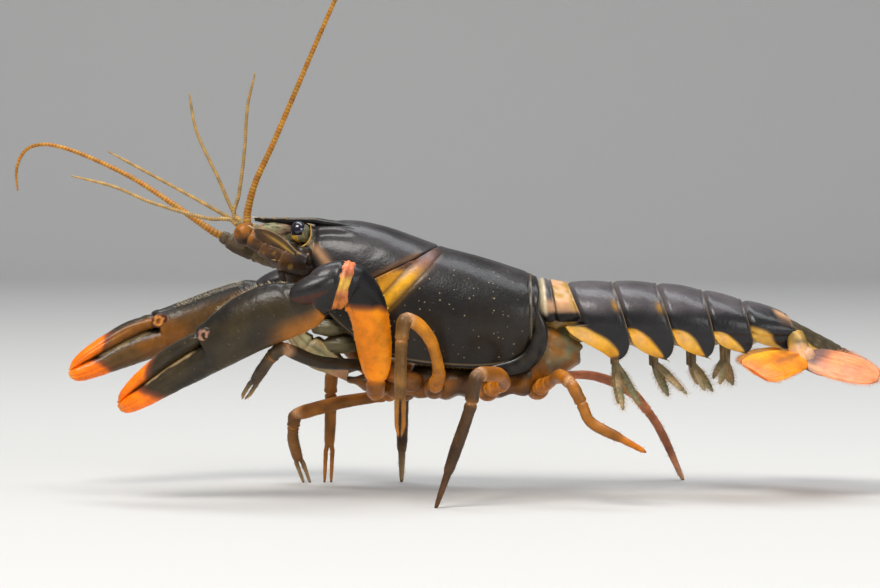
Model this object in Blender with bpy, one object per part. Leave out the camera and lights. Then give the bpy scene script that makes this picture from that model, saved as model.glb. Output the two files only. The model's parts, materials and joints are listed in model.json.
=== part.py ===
"""A crayfish in life size, as a still model that stands on its walking legs.

The pieces are modelled in millimetres and turned into metres at the very end.
X runs from the head at -X to the tail at +X, the animal's left side faces -Y,
and Z is the height over the floor. Places on the two sides are given with a
positive distance from the middle plane, and a side's sign is put on them.
"""

import math
from collections import namedtuple

import bmesh
import bpy
from mathutils import Matrix, Vector

MM = 0.001
GAP = 0.3
SIDES = {"left": -1.0, "right": 1.0}
FLOOR = -1.0
LIMB_ROLL = 0.0436

# Shell over head and thorax: heights and half widths along X
CARAPACE_FRONT = -21.4
CARAPACE_REAR = 16.3
CARAPACE_TOP = [(-21.4, 43.5), (-15.0, 44.2), (-9.5, 43.4), (-4.1, 41.6),
                (0.5, 39.9), (5.4, 38.6), (13.4, 36.1), (16.3, 34.8)]
CARAPACE_BOTTOM = [(-21.4, 32.4), (-19.0, 30.0), (-15.0, 26.2), (-11.0, 23.3), (-7.0, 21.9),
                   (-4.4, 21.2), (3.7, 20.5), (9.1, 20.7), (13.2, 21.9), (15.3, 24.1), (16.3, 26.6)]
CARAPACE_HALF = [(-21.4, 5.4), (-18.0, 6.9), (-12.0, 8.3), (-4.0, 9.6),
                 (5.0, 10.3), (11.0, 10.1), (15.0, 9.3), (16.3, 9.0)]
CARAPACE_WAIST = 0.42
RIM_START = 15.0
RIM_DEPTH = 0.35

# The groove between head and thorax, a plane that leans forward as it goes down
GROOVE_X = -0.66
GROOVE_Z = 39.8
GROOVE_LEAN = 0.49

# Rostrum, the beak over the eyes, and the ridges behind it
ROSTRUM_TIP_X = -30.5
ROSTRUM_BASE_X = -18.0
ROSTRUM_Z = 44.6
ROSTRUM_HALF = [(-29.9, 0.5), (-28.0, 1.3), (-25.0, 1.9), (-22.0, 2.3), (-18.0, 3.0)]
ROSTRUM_TEETH = (-28.9, -27.1, -25.2)
RIDGE_FRONT = (-21.3, 3.3, 43.2)
RIDGE_REAR = (-12.6, 4.9, 42.2)

# Muzzle under the rostrum, which carries the feelers' roots
MUZZLE_FRONT = -25.6
MUZZLE_TOP = 40.1
MUZZLE_BOTTOM = 34.7
MUZZLE_HALF = 2.5

# Eyes
EYE_PLACE = (-23.25, 4.0, 42.8)
EYE_RADIUS = 1.28
EYE_STALK_RADIUS = 0.85

# Breast plate with the hips of the legs
STERNUM_FRONT = -14.5
STERNUM_PLACES = (STERNUM_FRONT, -10.0, -5.2, -4.0, 0.5, 5.0, 9.0, 11.4, 13.6, 15.0, 16.1, 16.8, 19.5, 22.8)
STERNUM_BOTTOM = [(-14.5, 17.2), (-9.0, 15.6), (0.0, 15.0), (10.0, 15.2), (17.0, 16.2), (20.0, 18.2),
                  (22.8, 20.6)]
STERNUM_HALF = [(-14.5, 3.0), (-9.0, 4.2), (-2.0, 5.6), (8.0, 6.2), (13.0, 7.0), (18.0, 7.2), (20.5, 5.8),
                (22.8, 4.8)]
STERNUM_FRONT_TOP = 18.7
HIP_LENGTH = 3.4

# Abdomen: the joints between its rings at the top line, and how far each leans back going down
ABDOMEN_JOINTS = [16.6, 21.0, 28.4, 35.7, 43.3, 49.8, 56.4]
ABDOMEN_LEANS = [0.0, 0.38, 0.30, 0.29, 0.20, 0.20, 0.30]
ABDOMEN_TOP = [(16.6, 34.4), (21.0, 34.0), (28.4, 34.1), (36.0, 33.8), (43.0, 32.8), (50.0, 31.1),
               (56.4, 29.2)]
ABDOMEN_HALF = [(16.6, 7.9), (22.0, 8.6), (34.0, 8.6), (44.0, 7.9), (52.0, 7.0), (58.0, 5.9)]
ABDOMEN_BELLY = [(16.6, 25.6), (22.0, 24.2), (28.0, 23.3), (44.0, 23.2), (52.0, 23.8), (58.0, 24.4)]
FIRST_RING_LOW = 27.9
FIRST_LOBE_REACH = 0.55
PLEURON_LOW = [None, 21.7, 21.5, 21.8, 22.5, 23.2]
PLEURON_THICK = 1.3
PLEURON_INSET = 0.75
PLEURON_ROOT = 27.6
PLEURON_NECK = 26.6
PLATE_STEP = 0.45
PLATE_STEPS = ((0.0, 1.0), (0.22, 0.85), (0.34, 0.25), (0.9, 0.0), (1.0, -0.25))

# Tail fan
TELSON_ROOT = (57.3, 0.0, 27.2)
TELSON_TIP = (72.4, 0.0, 19.8)
TELSON_HALF = [(0.0, 4.1), (0.35, 4.6), (0.7, 4.4), (0.93, 3.2), (1.0, 1.9)]
TELSON_THICK = [(0.0, 1.9), (0.5, 1.1), (1.0, 0.4)]
UROPOD_ROOT = (59.0, 4.6, 25.6)
UROPOD_ELBOW = (59.9, 7.4, 23.8)
EXOPOD_TIP = (51.6, 15.4, 19.2)
EXOPOD_ACROSS = (0.95, -0.28, -0.05)
EXOPOD_HALF = [(0.0, 1.2), (0.3, 2.9), (0.7, 4.5), (0.93, 4.0), (1.0, 2.6)]
ENDOPOD_TIP = (70.0, 10.0, 18.7)
ENDOPOD_ACROSS = (0.12, 0.86, -0.50)
ENDOPOD_HALF = [(0.0, 1.2), (0.35, 3.0), (0.75, 3.7), (0.94, 2.9), (1.0, 1.7)]
FIN_THICK = [(0.0, 0.9), (0.4, 0.5), (1.0, 0.28)]

# Swimmerets, by the abdomen ring that carries them: root place along X and the two blades' tips
SWIMMERET_Y = 3.9
SWIMMERET_STALK = 2.2
SWIMMERET_HALF = [(0.0, 0.5), (0.4, 0.95), (0.8, 0.8), (1.0, 0.3)]
SWIMMERET_THICK = [(0.0, 0.42), (1.0, 0.27)]
NARROW_BLADE = [(-1.0, 0.4), (0.0, 1.0), (1.0, 0.4)]
SWIMMERETS = {
    2: (29.0, (30.0, 7.2, 13.4), (33.0, 4.2, 13.9)),
    3: (35.4, (40.4, 7.0, 16.0), (37.6, 4.0, 15.4)),
    4: (41.6, (43.3, 6.8, 16.6), (44.9, 4.0, 16.2)),
    5: (47.2, (45.8, 6.4, 17.6), (48.2, 3.8, 17.2)),
}

# Feelers
ANTENNULE_ROOT = (-21.7, 1.1, 41.3)
ANTENNULE_BEND = (-27.5, 1.3, 41.8)
ANTENNULE_END = (-32.9, 1.5, 43.7)
ANTENNULE_AIM = (-0.75, 0.0, 0.66)
ANTENNULES = {
    "left": {"long": [(-38.0, 1.3, 44.5), (-47.2, 1.2, 47.1), (-53.4, 1.0, 49.7), (-60.4, 1.0, 51.5)],
             "short": [(-32.9, 1.6, 48.2), (-31.9, 2.2, 55.4), (-31.3, 3.0, 62.9), (-30.0, 4.0, 68.3)]},
    "right": {"long": [(-41.1, 1.2, 48.2), (-47.4, 2.0, 51.6), (-54.7, 3.0, 55.5)],
              "short": [(-36.4, 1.4, 51.0), (-40.1, 2.2, 59.0), (-41.3, 3.0, 65.2)]},
}
ANTENNA_BASE = {
    "left": [(-21.7, 5.1, 37.0), (-25.6, 5.3, 38.5), (-28.9, 5.1, 40.4), (-31.3, 4.8, 42.1),
             (-31.3, 4.7, 43.6)],
    "right": [(-21.7, 5.1, 37.0), (-25.6, 5.3, 37.8), (-29.6, 5.0, 38.7), (-33.2, 4.5, 39.9),
              (-36.0, 4.3, 41.4)],
}
ANTENNA_BASE_SIZE = [(0.0, 1.9), (0.3, 2.15), (0.55, 1.75), (0.8, 1.5), (1.0, 0.95)]
ANTENNA = {
    "left": [(-29.9, 7.0, 50.6), (-27.1, 10.0, 56.5), (-23.0, 14.0, 65.7), (-18.7, 18.0, 75.4),
             (-14.6, 20.6, 84.0), (-9.0, 22.0, 93.0), (-2.5, 22.4, 100.5)],
    "right": [(-44.8, 8.0, 46.6), (-51.4, 12.0, 50.4), (-58.1, 15.0, 53.4), (-63.2, 17.0, 55.2),
              (-67.0, 18.0, 55.9), (-69.9, 19.0, 55.2), (-71.4, 19.4, 53.5), (-72.1, 19.8, 50.9),
              (-71.9, 20.0, 47.9)],
}
ANTENNA_SIZE = [(0.0, 0.65), (0.15, 0.5), (0.6, 0.36), (0.9, 0.27), (1.0, 0.14)]
ANTENNULE_SIZE = [(0.0, 0.34), (0.5, 0.28), (0.85, 0.25), (1.0, 0.12)]
SCALE_ROOT = (-23.6, 6.6, 38.6)
SCALE_TIP = (-30.2, 6.9, 43.0)
SCALE_HALF = [(0.0, 0.9), (0.4, 1.5), (0.75, 1.2), (1.0, 0.2)]

# Outer jaw legs, folded up under the mouth
JAW_LEG = [(-14.9, 2.0, 18.9), (-18.4, 2.5, 21.2), (-22.6, 2.8, 24.2), (-25.4, 2.8, 28.6),
           (-26.6, 2.5, 33.4)]
JAW_LEG_SIZE = [(0.0, 1.2), (0.3, 1.6), (0.6, 1.25), (0.85, 0.9), (1.0, 0.4)]

# Walking legs: hip, points up to the knee, points down to the tip; a planted one stands on the floor
Leg = namedtuple("Leg", "side number hip upper knee lower tip pincer planted")
LEGS = [
    Leg("left", 2, (-6.5, 6.6, 18.6), [(-9.9, 5.4, 20.6), (-13.5, 7.2, 21.1), (-19.8, 12.2, 22.2)],
        (-24.6, 15.6, 24.6), [(-27.3, 14.4, 22.7)], (-31.8, 8.5, 15.6), True, False),
    Leg("left", 3, (-0.6, 7.4, 17.4), [(0.0, 10.6, 20.0), (-1.1, 15.2, 25.4), (-3.0, 18.0, 28.4)],
        (-4.9, 19.6, 29.8), [(-6.0, 20.4, 25.0)], (-6.2, 21.0, 11.0), True, False),
    Leg("left", 4, (8.6, 7.6, 16.9), [(10.6, 11.8, 18.6), (9.6, 17.0, 20.6)],
        (6.4, 21.4, 21.2), [(4.9, 22.0, 15.8), (2.6, 22.2, 9.0)], (-0.5, 22.4, FLOOR), False, True),
    Leg("left", 5, (16.6, 7.0, 17.1), [(18.2, 11.8, 19.0), (19.4, 16.4, 20.4)],
        (20.9, 20.4, 19.6), [(23.2, 21.6, 15.4), (25.4, 22.4, 12.5), (28.6, 23.2, 10.4)],
        (34.0, 24.0, 8.2), False, False),
    Leg("right", 2, (-6.2, 6.8, 15.9), [(-8.0, 10.6, 14.3), (-12.4, 12.6, 13.3), (-17.2, 14.2, 12.3)],
        (-24.0, 16.6, 10.2), [(-24.8, 17.4, 5.4)], (-22.6, 18.2, FLOOR), True, True),
    Leg("right", 3, (-0.6, 7.4, 17.0), [(-6.0, 12.4, 18.8), (-13.6, 16.4, 18.8)],
        (-17.8, 17.8, 17.2), [(-18.5, 18.2, 10.0)], (-19.0, 18.6, FLOOR), True, True),
    Leg("right", 4, (8.6, 7.6, 16.9), [(3.0, 13.2, 19.2), (-2.4, 16.8, 19.6)],
        (-5.2, 18.2, 18.0), [(-6.2, 18.8, 10.0)], (-6.4, 19.2, FLOOR), False, True),
    Leg("right", 5, (16.6, 7.0, 17.1), [(24.3, 11.4, 17.4), (30.4, 15.4, 15.4)],
        (33.2, 17.2, 13.4), [(37.6, 19.8, 7.4)], (42.0, 22.6, FLOOR), False, True),
]
UPPER_SIZE = [(0.0, 1.25), (0.35, 1.05), (0.75, 1.2), (1.0, 1.12)]
LOWER_SIZE = [(0.0, 1.1), (0.22, 0.92), (0.3, 0.82), (0.7, 0.74), (1.0, 0.6)]
TOE_SIZE = [(0.0, 0.62), (0.5, 0.5), (1.0, 0.34)]
TOE_SHARE = 0.26
PINCER_SHARE = 0.34

# Claws
CLAW_HIP = (-10.3, 7.5, 17.1)
CLAW_ARMS = {
    "left": [(-10.2, 9.4, 20.6), (-10.7, 11.8, 26.3), (-11.7, 13.8, 31.4), (-13.9, 15.3, 34.7),
             (-17.4, 16.4, 34.6)],
    "right": [(-12.6, 9.8, 21.0), (-16.6, 12.4, 25.6), (-20.6, 14.5, 29.0), (-24.0, 15.9, 30.4),
              (-27.4, 17.2, 29.9)],
}
CLAW_ELBOW = {"left": 0.68, "right": 0.72}
CLAW_WRIST = {"left": (-20.9, 17.0, 30.5), "right": (-31.0, 18.0, 27.6)}
CLAW_AIM = {"left": (-0.848, -0.115, -0.512), "right": (-0.886, -0.283, -0.374)}
ARM_DEEP = [(0.0, 2.0), (0.15, 1.9), (0.45, 3.0), (0.62, 3.3), (0.68, 3.3), (0.8, 4.3), (0.92, 3.9),
            (1.0, 3.2)]
ARM_THICK = [(0.0, 1.9), (0.15, 1.7), (0.45, 2.3), (0.62, 2.6), (0.68, 2.6), (0.8, 3.3), (0.92, 3.1),
             (1.0, 2.5)]
WRIST_LIFT = 0.9
CLAW_LENGTH = 35.6
HINGE = 16.9
PALM_TOP = [(0.0, 4.4), (1.5, 5.9), (5.0, 7.2), (9.0, 7.5), (13.0, 7.2), (16.9, 6.5)]
CLAW_LOW = [(0.0, -2.6), (2.0, -2.4), (9.0, -1.3), (16.9, -0.6), (26.0, 0.1), (32.0, 0.9), (35.6, 2.2)]
CLAW_THICK = [(0.0, 2.3), (5.0, 3.4), (10.0, 3.5), (16.9, 2.9), (22.0, 1.9), (30.0, 1.5), (35.6, 0.3)]
THUMB_TOP = [(17.4, 3.9), (21.0, 3.9), (26.0, 3.3), (31.0, 2.7), (35.6, 2.5)]
FINGER_LOW = [(17.5, 4.5), (21.0, 4.6), (26.0, 4.05), (31.0, 3.45), (34.6, 3.3)]
FINGER_TOP = [(17.5, 6.4), (22.0, 6.8), (26.0, 6.5), (30.0, 5.6), (33.0, 4.4), (34.6, 3.5)]
FINGER_THICK = [(17.5, 2.2), (22.0, 1.8), (30.0, 1.3), (34.6, 0.3)]
TOOTH = 0.22
TOOTH_PITCH = 2.6

# Colours
DARK = (0.030, 0.026, 0.022)
OLIVE = (0.075, 0.055, 0.025)
BROWN = (0.115, 0.050, 0.018)
ORANGE = (0.80, 0.22, 0.02)
YELLOW = (0.72, 0.36, 0.08)
TAN = (0.50, 0.30, 0.13)
BLACK = (0.008, 0.008, 0.014)


def clear_scene():
    """Take away whatever the scene holds."""
    for thing in list(bpy.data.objects):
        bpy.data.objects.remove(thing, do_unlink=True)


def paint(name, colour, roughness):
    """A plain shaded material."""
    material = bpy.data.materials.new(name)
    material.use_nodes = True
    shader = material.node_tree.nodes["Principled BSDF"]
    shader.inputs["Base Color"].default_value = (*colour, 1.0)
    shader.inputs["Roughness"].default_value = roughness
    shader.inputs["Metallic"].default_value = 0.0
    return material


def on_side(place, side):
    """A place with its distance from the middle plane put on the given side."""
    return Vector((place[0], place[1] * SIDES[side], place[2]))


def limb_place(place, side):
    """A place on a limb: the left limbs hang a little lower than the right ones."""
    spot = on_side(place, side)
    spot.z += LIMB_ROLL * spot.y if place[2] > FLOOR else 0.0
    return spot


def slope(keys, index):
    """Slope at one key of a smooth curve."""
    before = keys[max(index - 1, 0)]
    after = keys[min(index + 1, len(keys) - 1)]
    return (after[1] - before[1]) / (after[0] - before[0])


def along(keys, at):
    """Value at a place on the smooth curve through (place, value) keys."""
    if at <= keys[0][0]:
        return keys[0][1]
    if at >= keys[-1][0]:
        return keys[-1][1]
    index = max(i for i in range(len(keys) - 1) if keys[i][0] <= at)
    (start, first), (end, last) = keys[index], keys[index + 1]
    span = end - start
    s = (at - start) / span
    rise = slope(keys, index) * span
    fall = slope(keys, index + 1) * span
    return (first * (1 + 2 * s) * (1 - s) ** 2 + rise * s * (1 - s) ** 2
            + last * s * s * (3 - 2 * s) + fall * s * s * (s - 1))


def spline(points, count):
    """Evenly spaced places on the smooth curve through some points."""
    points = [Vector(point) for point in points]
    travel = [0.0]
    for before, after in zip(points, points[1:]):
        travel.append(travel[-1] + (after - before).length)
    axes = [[(t, point[axis]) for t, point in zip(travel, points)] for axis in range(3)]
    places = [travel[-1] * step / (count - 1) for step in range(count)]
    return [Vector([along(keys, place) for keys in axes]) for place in places]


def tangents(path, first=None, last=None):
    """Directions along a path, with the end directions set where they are given."""
    aims = []
    for index in range(len(path)):
        before = path[max(index - 1, 0)]
        after = path[min(index + 1, len(path) - 1)]
        aims.append((after - before).normalized())
    if first is not None:
        aims[0] = Vector(first).normalized()
    if last is not None:
        aims[-1] = Vector(last).normalized()
    return aims


def oval(centre, across, up, half_across, half_up, count, power=2.0):
    """A closed ring of points: an ellipse, or squarer with a greater power."""
    ring = []
    for step in range(count):
        angle = 2.0 * math.pi * step / count
        cos, sin = math.cos(angle), math.sin(angle)
        reach = (abs(cos) ** power + abs(sin) ** power) ** (-1.0 / power)
        ring.append(centre + across * (cos * reach * half_across) + up * (sin * reach * half_up))
    return ring


def tube_rings(path, aims, side, wide, deep, count):
    """Rings along a path; the side direction is carried on without twist."""
    rings = []
    across = Vector(side)
    for place, aim, half_wide, half_deep in zip(path, aims, wide, deep):
        across = (across - aim * across.dot(aim)).normalized()
        up = aim.cross(across)
        rings.append(oval(place, across, up, half_wide, half_deep, count))
    return rings


def skin(rings, tip=None):
    """A closed body over rings of equal count, with flat ends or a pointed far end."""
    mesh = bmesh.new()
    rows = [[mesh.verts.new(point) for point in ring] for ring in rings]
    count = len(rows[0])
    for near, far in zip(rows, rows[1:]):
        for i in range(count):
            j = (i + 1) % count
            mesh.faces.new((near[i], near[j], far[j]))
            mesh.faces.new((near[i], far[j], far[i]))
    start = mesh.verts.new(sum(rings[0], Vector()) / count)
    end = mesh.verts.new(tip if tip is not None else sum(rings[-1], Vector()) / count)
    for i in range(count):
        j = (i + 1) % count
        mesh.faces.new((start, rows[0][j], rows[0][i]))
        mesh.faces.new((end, rows[-1][i], rows[-1][j]))
    bmesh.ops.recalc_face_normals(mesh, faces=mesh.faces)
    return as_object("piece", mesh)


def as_object(name, mesh):
    """An object in the scene from a finished bmesh."""
    data = bpy.data.meshes.new(name)
    mesh.to_mesh(data)
    mesh.free()
    thing = bpy.data.objects.new(name, data)
    bpy.context.scene.collection.objects.link(thing)
    return thing


def keep_largest(mesh):
    """Drop all but the largest closed surface of a bmesh."""
    left = set(mesh.faces)
    shells = []
    while left:
        shell = {left.pop()}
        edge_of = list(shell)
        while edge_of:
            face = edge_of.pop()
            for edge in face.edges:
                for other in edge.link_faces:
                    if other in left:
                        left.remove(other)
                        shell.add(other)
                        edge_of.append(other)
        shells.append(shell)
    shells.sort(key=lambda shell: sum(face.calc_area() for face in shell))
    dropped = [face for shell in shells[:-1] for face in shell]
    bmesh.ops.delete(mesh, geom=dropped, context="FACES")


def fuse(name, pieces, colour, roughness=0.35):
    """Join overlapping closed pieces into one named node."""
    body = pieces[0]
    if len(pieces) > 1:
        group = bpy.data.collections.new("joined")
        bpy.context.scene.collection.children.link(group)
        for piece in pieces[1:]:
            group.objects.link(piece)
        union = body.modifiers.new("union", "BOOLEAN")
        union.operation = "UNION"
        union.operand_type = "COLLECTION"
        union.collection = group
        union.solver = "EXACT"
        graph = bpy.context.evaluated_depsgraph_get()
        joined = bpy.data.meshes.new_from_object(body.evaluated_get(graph))
        body.modifiers.clear()
        body.data = joined
        for piece in pieces[1:]:
            bpy.data.objects.remove(piece, do_unlink=True)
        bpy.data.collections.remove(group)
    mesh = bmesh.new()
    mesh.from_mesh(body.data)
    bmesh.ops.triangulate(mesh, faces=mesh.faces)
    keep_largest(mesh)
    mesh.to_mesh(body.data)
    mesh.free()
    body.name = name
    body.data.name = name
    body.data.materials.clear()
    body.data.materials.append(paint(name + "_finish", colour, roughness))
    body.data.shade_smooth()
    body.data.set_sharp_from_angle(angle=math.radians(40.0))
    return body


def cut_body(thing, point, normal):
    """Keep the part of a closed body that lies behind a plane, and close the cut."""
    mesh = bmesh.new()
    mesh.from_mesh(thing.data)
    geometry = mesh.verts[:] + mesh.edges[:] + mesh.faces[:]
    bmesh.ops.bisect_plane(mesh, geom=geometry, plane_co=point, plane_no=normal, clear_outer=True,
                           dist=1e-5)
    open_edges = [edge for edge in mesh.edges if edge.is_boundary]
    bmesh.ops.holes_fill(mesh, edges=open_edges, sides=0)
    bmesh.ops.triangulate(mesh, faces=mesh.faces)
    bmesh.ops.recalc_face_normals(mesh, faces=mesh.faces)
    mesh.to_mesh(thing.data)
    mesh.free()
    return thing


def shell_ring(x, top, bottom, half, waist, tuck):
    """One ring of a shell: an arched back, bulged flanks and a flat underside."""
    wide_z = bottom + (top - bottom) * waist
    arch_steps = 7
    flank_steps = 4
    right = []
    for step in range(arch_steps + 1):
        angle = 0.5 * math.pi * step / arch_steps
        right.append((half * math.sin(angle) ** 0.92, wide_z + (top - wide_z) * math.cos(angle) ** 0.92))
    for step in range(1, flank_steps + 1):
        s = step / flank_steps
        right.append((half * (1.0 - (1.0 - tuck) * s * s), wide_z - (wide_z - bottom) * s))
    left = [(-y, z) for y, z in reversed(right[1:])]
    ring = right + [(0.0, bottom)] + left
    return [Vector((x, y, z)) for y, z in ring]


def carapace():
    """The whole shell of head and thorax, before its groove parts it."""
    stations = 19
    rings = []
    for step in range(stations):
        x = CARAPACE_FRONT + (RIM_START - CARAPACE_FRONT) * step / (stations - 1)
        rings.append(carapace_ring(x, 0.0))
    rings.append(carapace_ring(RIM_START + 0.35, -RIM_DEPTH))
    rings.append(carapace_ring(RIM_START + 0.75, 0.0))
    rings.append(carapace_ring(CARAPACE_REAR, 0.0))
    return skin(rings)


def carapace_ring(x, swell):
    """The shell's ring at one place along X."""
    return shell_ring(x, along(CARAPACE_TOP, x) + swell, along(CARAPACE_BOTTOM, x),
                      along(CARAPACE_HALF, x) + swell, CARAPACE_WAIST, 0.80)


def groove_plane(offset):
    """A point and the forward normal of the groove's plane, moved along that normal."""
    normal = Vector((-GROOVE_LEAN, 0.0, 1.0)).normalized()
    return Vector((GROOVE_X, 0.0, GROOVE_Z)) + normal * offset, normal


def rostrum_ring(x):
    """The beak's ring: a trough between two raised edges."""
    half = along(ROSTRUM_HALF, x)
    profile = [(0.0, -0.30), (half - 0.35, 0.0), (half, -0.30), (half * 0.9, -1.05), (0.0, -1.65)]
    top = min(ROSTRUM_Z, ROSTRUM_Z + 0.04 * (ROSTRUM_BASE_X - x))
    right = [(max(y, 0.0), z) for y, z in profile]
    ring = right + [(-y, z) for y, z in reversed(right[1:-1])]
    depth = 0.35 + 0.65 * min(1.0, (x - ROSTRUM_TIP_X) / 5.0)
    return [Vector((x, y, top + z * depth)) for y, z in ring]


def cone(root, tip, radius, count=5):
    """A pointed spine with its root ring at a place."""
    root, tip = Vector(root), Vector(tip)
    aim = (tip - root).normalized()
    rings = tube_rings([root], [aim], (0.31, 0.87, 0.38), [radius], [radius], count)
    return skin(rings, tip)


def head():
    """Head shell with its rostrum, teeth, ridges and muzzle."""
    point, normal = groove_plane(0.5 * GAP)
    shell = cut_body(carapace(), point, -normal)
    beak_places = [-18.0, -20.0, -22.0, -24.0, -26.0, -28.0, -29.4]
    pieces = [shell, skin([rostrum_ring(x) for x in beak_places],
                          Vector((ROSTRUM_TIP_X, 0.0, ROSTRUM_Z - 0.05)))]
    for sign in SIDES.values():
        for x in ROSTRUM_TEETH:
            half = along(ROSTRUM_HALF, x)
            pieces.append(cone((x + 0.7, sign * (half - 0.35), ROSTRUM_Z - 0.45),
                               (x - 0.7, sign * (half + 0.45), ROSTRUM_Z - 0.15), 0.42))
        front = Vector((RIDGE_FRONT[0], sign * RIDGE_FRONT[1], RIDGE_FRONT[2]))
        rear = Vector((RIDGE_REAR[0], sign * RIDGE_REAR[1], RIDGE_REAR[2]))
        path = [rear.lerp(front, share) for share in (0.0, 0.35, 0.7, 1.0)]
        sizes = [0.3, 0.55, 0.6, 0.5]
        rings = tube_rings(path, tangents(path), (0.0, 0.0, 1.0), sizes, sizes, 6)
        pieces.append(skin(rings, front + Vector((-0.9, 0.0, 0.35))))
    pieces.append(muzzle())
    return fuse("head", pieces, DARK)


def muzzle():
    """The block under the rostrum that the feelers grow from."""
    mid = 0.5 * (MUZZLE_TOP + MUZZLE_BOTTOM)
    high = 0.5 * (MUZZLE_TOP - MUZZLE_BOTTOM)
    across, up = Vector((0.0, 1.0, 0.0)), Vector((0.0, 0.0, 1.0))
    rings = [oval(Vector((CARAPACE_FRONT + 1.5, 0.0, mid)), across, up, MUZZLE_HALF, high, 10, 2.6),
             oval(Vector((-23.8, 0.0, mid)), across, up, MUZZLE_HALF, high, 10, 2.6),
             oval(Vector((MUZZLE_FRONT, 0.0, mid - 0.4)), across, up, MUZZLE_HALF * 0.6, high * 0.6,
                  10, 2.2)]
    return skin(rings)


def thorax():
    """Thorax shell behind the groove."""
    point, normal = groove_plane(-0.5 * GAP)
    shell = cut_body(carapace(), point, normal)
    return fuse("thorax", [shell], DARK)


def sternum_top(x):
    """Height of the breast plate's upper face, just under whatever lies on it."""
    if x > CARAPACE_REAR + GAP:
        return FIRST_RING_LOW - GAP
    roof = along(CARAPACE_BOTTOM, x) - GAP * 2.3
    return min(roof, STERNUM_FRONT_TOP) if x < -5.0 else roof


def hips():
    """Places where legs and claws leave the breast plate, with their sizes."""
    places = [(leg.side, leg.hip, leg.upper[0], UPPER_SIZE[0][1]) for leg in LEGS]
    places += [(side, CLAW_HIP, CLAW_ARMS[side][0], ARM_THICK[0][1]) for side in SIDES]
    return places


def sternum():
    """Breast plate with a hip stub for every leg and claw."""
    across, up = Vector((0.0, 1.0, 0.0)), Vector((0.0, 0.0, 1.0))
    rings = []
    for x in STERNUM_PLACES:
        top, low = sternum_top(x), along(STERNUM_BOTTOM, x)
        centre = Vector((x, 0.0, 0.5 * (top + low)))
        rings.append(oval(centre, across, up, along(STERNUM_HALF, x), 0.5 * (top - low), 10, 3.0))
    pieces = [skin(rings)]
    for side, hip, follow, size in hips():
        end = on_side(hip, side)
        aim = hip_aim(side, hip, follow)
        start = Vector((end.x, end.y * 0.45, end.z)).lerp(end - aim * HIP_LENGTH, 0.5)
        path = [start, end - aim * 0.9, end]
        sizes = [size * 1.15, size * 1.2, size]
        rings = tube_rings(path, [aim] * 3, (1.0, 0.0, 0.0), sizes, sizes, 8)
        pieces.append(skin(rings))
    return fuse("sternum", pieces, OLIVE)


def hip_aim(side, hip, follow):
    """Direction in which a limb leaves its hip."""
    outward = Vector((0.0, SIDES[side], 0.0))
    lead = (on_side(follow, side) - on_side(hip, side)).normalized()
    return (outward * 0.6 + lead).normalized()


def eye(side):
    """Eyeball on its short stalk."""
    centre = on_side(EYE_PLACE, side)
    ball = bmesh.new()
    bmesh.ops.create_uvsphere(ball, u_segments=10, v_segments=7, radius=EYE_RADIUS)
    bmesh.ops.triangulate(ball, faces=ball.faces)
    bmesh.ops.translate(ball, verts=ball.verts, vec=centre)
    root = Vector((CARAPACE_FRONT - GAP, centre.y * 0.93, centre.z - 0.9))
    aim = (centre - root).normalized()
    path = [root, root.lerp(centre, 0.7)]
    sizes = [EYE_STALK_RADIUS] * 2
    stalk = skin(tube_rings(path, [Vector((-1.0, 0.0, 0.0)), aim], (0.0, 1.0, 0.0), sizes, sizes, 6))
    return fuse("eye_" + side, [as_object("ball", ball), stalk], BLACK, 0.08)


def feeler(name, path, first_aim, sizes, count, sides, colour):
    """A tapering whip along a path."""
    places = spline(path, count)
    aims = tangents(places, first=first_aim)
    radii = [along(sizes, step / (count - 1)) for step in range(count)]
    rings = tube_rings(places[:-1], aims[:-1], (0.0, 1.0, 0.0), radii[:-1], radii[:-1], sides)
    return fuse(name, [skin(rings, places[-1])], colour)


def antennule_root(side):
    """Three-jointed base of one antennule, under the rostrum."""
    path = spline([on_side(place, side) for place in (ANTENNULE_ROOT, ANTENNULE_BEND, ANTENNULE_END)], 8)
    aims = tangents(path, first=(-1.0, 0.0, 0.0), last=ANTENNULE_AIM)
    sizes = [0.72, 0.78, 0.8, 0.66, 0.74, 0.62, 0.74, 0.78]
    return fuse("antennule_root_" + side, [skin(tube_rings(path, aims, (0, 1, 0), sizes, sizes, 8))], TAN)


def antennule_whips(side):
    """The two thin whips that leave one antennule's base."""
    aim = Vector(ANTENNULE_AIM).normalized()
    above = aim.cross(Vector((0.0, 1.0, 0.0))).normalized()
    above = above if above.z > 0 else -above
    end = on_side(ANTENNULE_END, side) + aim * GAP
    for kind, shift in (("long", -0.5), ("short", 0.5)):
        start = end + above * shift * 0.95
        path = [start, start + aim * 1.2] + [on_side(place, side) for place in ANTENNULES[side][kind]]
        feeler("antennule_" + side + "_" + kind, path, aim, ANTENNULE_SIZE, 15, 5, TAN)


def antenna(side):
    """Base of one great antenna with its scale, and the long whip."""
    route = [on_side(place, side) for place in ANTENNA_BASE[side]]
    path = spline(route, 12)
    last = (route[-1] - route[-2]).normalized()
    aims = tangents(path, first=(-1.0, 0.0, 0.0), last=last)
    sizes = [along(ANTENNA_BASE_SIZE, step / 11) for step in range(12)]
    base = skin(tube_rings(path, aims, (0, 1, 0), sizes, sizes, 10))
    scale = blade(on_side(SCALE_ROOT, side), on_side(SCALE_TIP, side),
                  Vector((0.35, 0.25 * SIDES[side], 0.6)),
                  SCALE_HALF, [(0.0, 0.55), (1.0, 0.3)], 5, 0.0)
    fuse("antenna_root_" + side, [base, scale], BROWN)
    start = path[-1] + last * GAP
    whip = [start, start + last * 1.5] + [limb_place(place, side) for place in ANTENNA[side]]
    feeler("antenna_" + side, whip, last, ANTENNA_SIZE, 30, 5, ORANGE)


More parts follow.
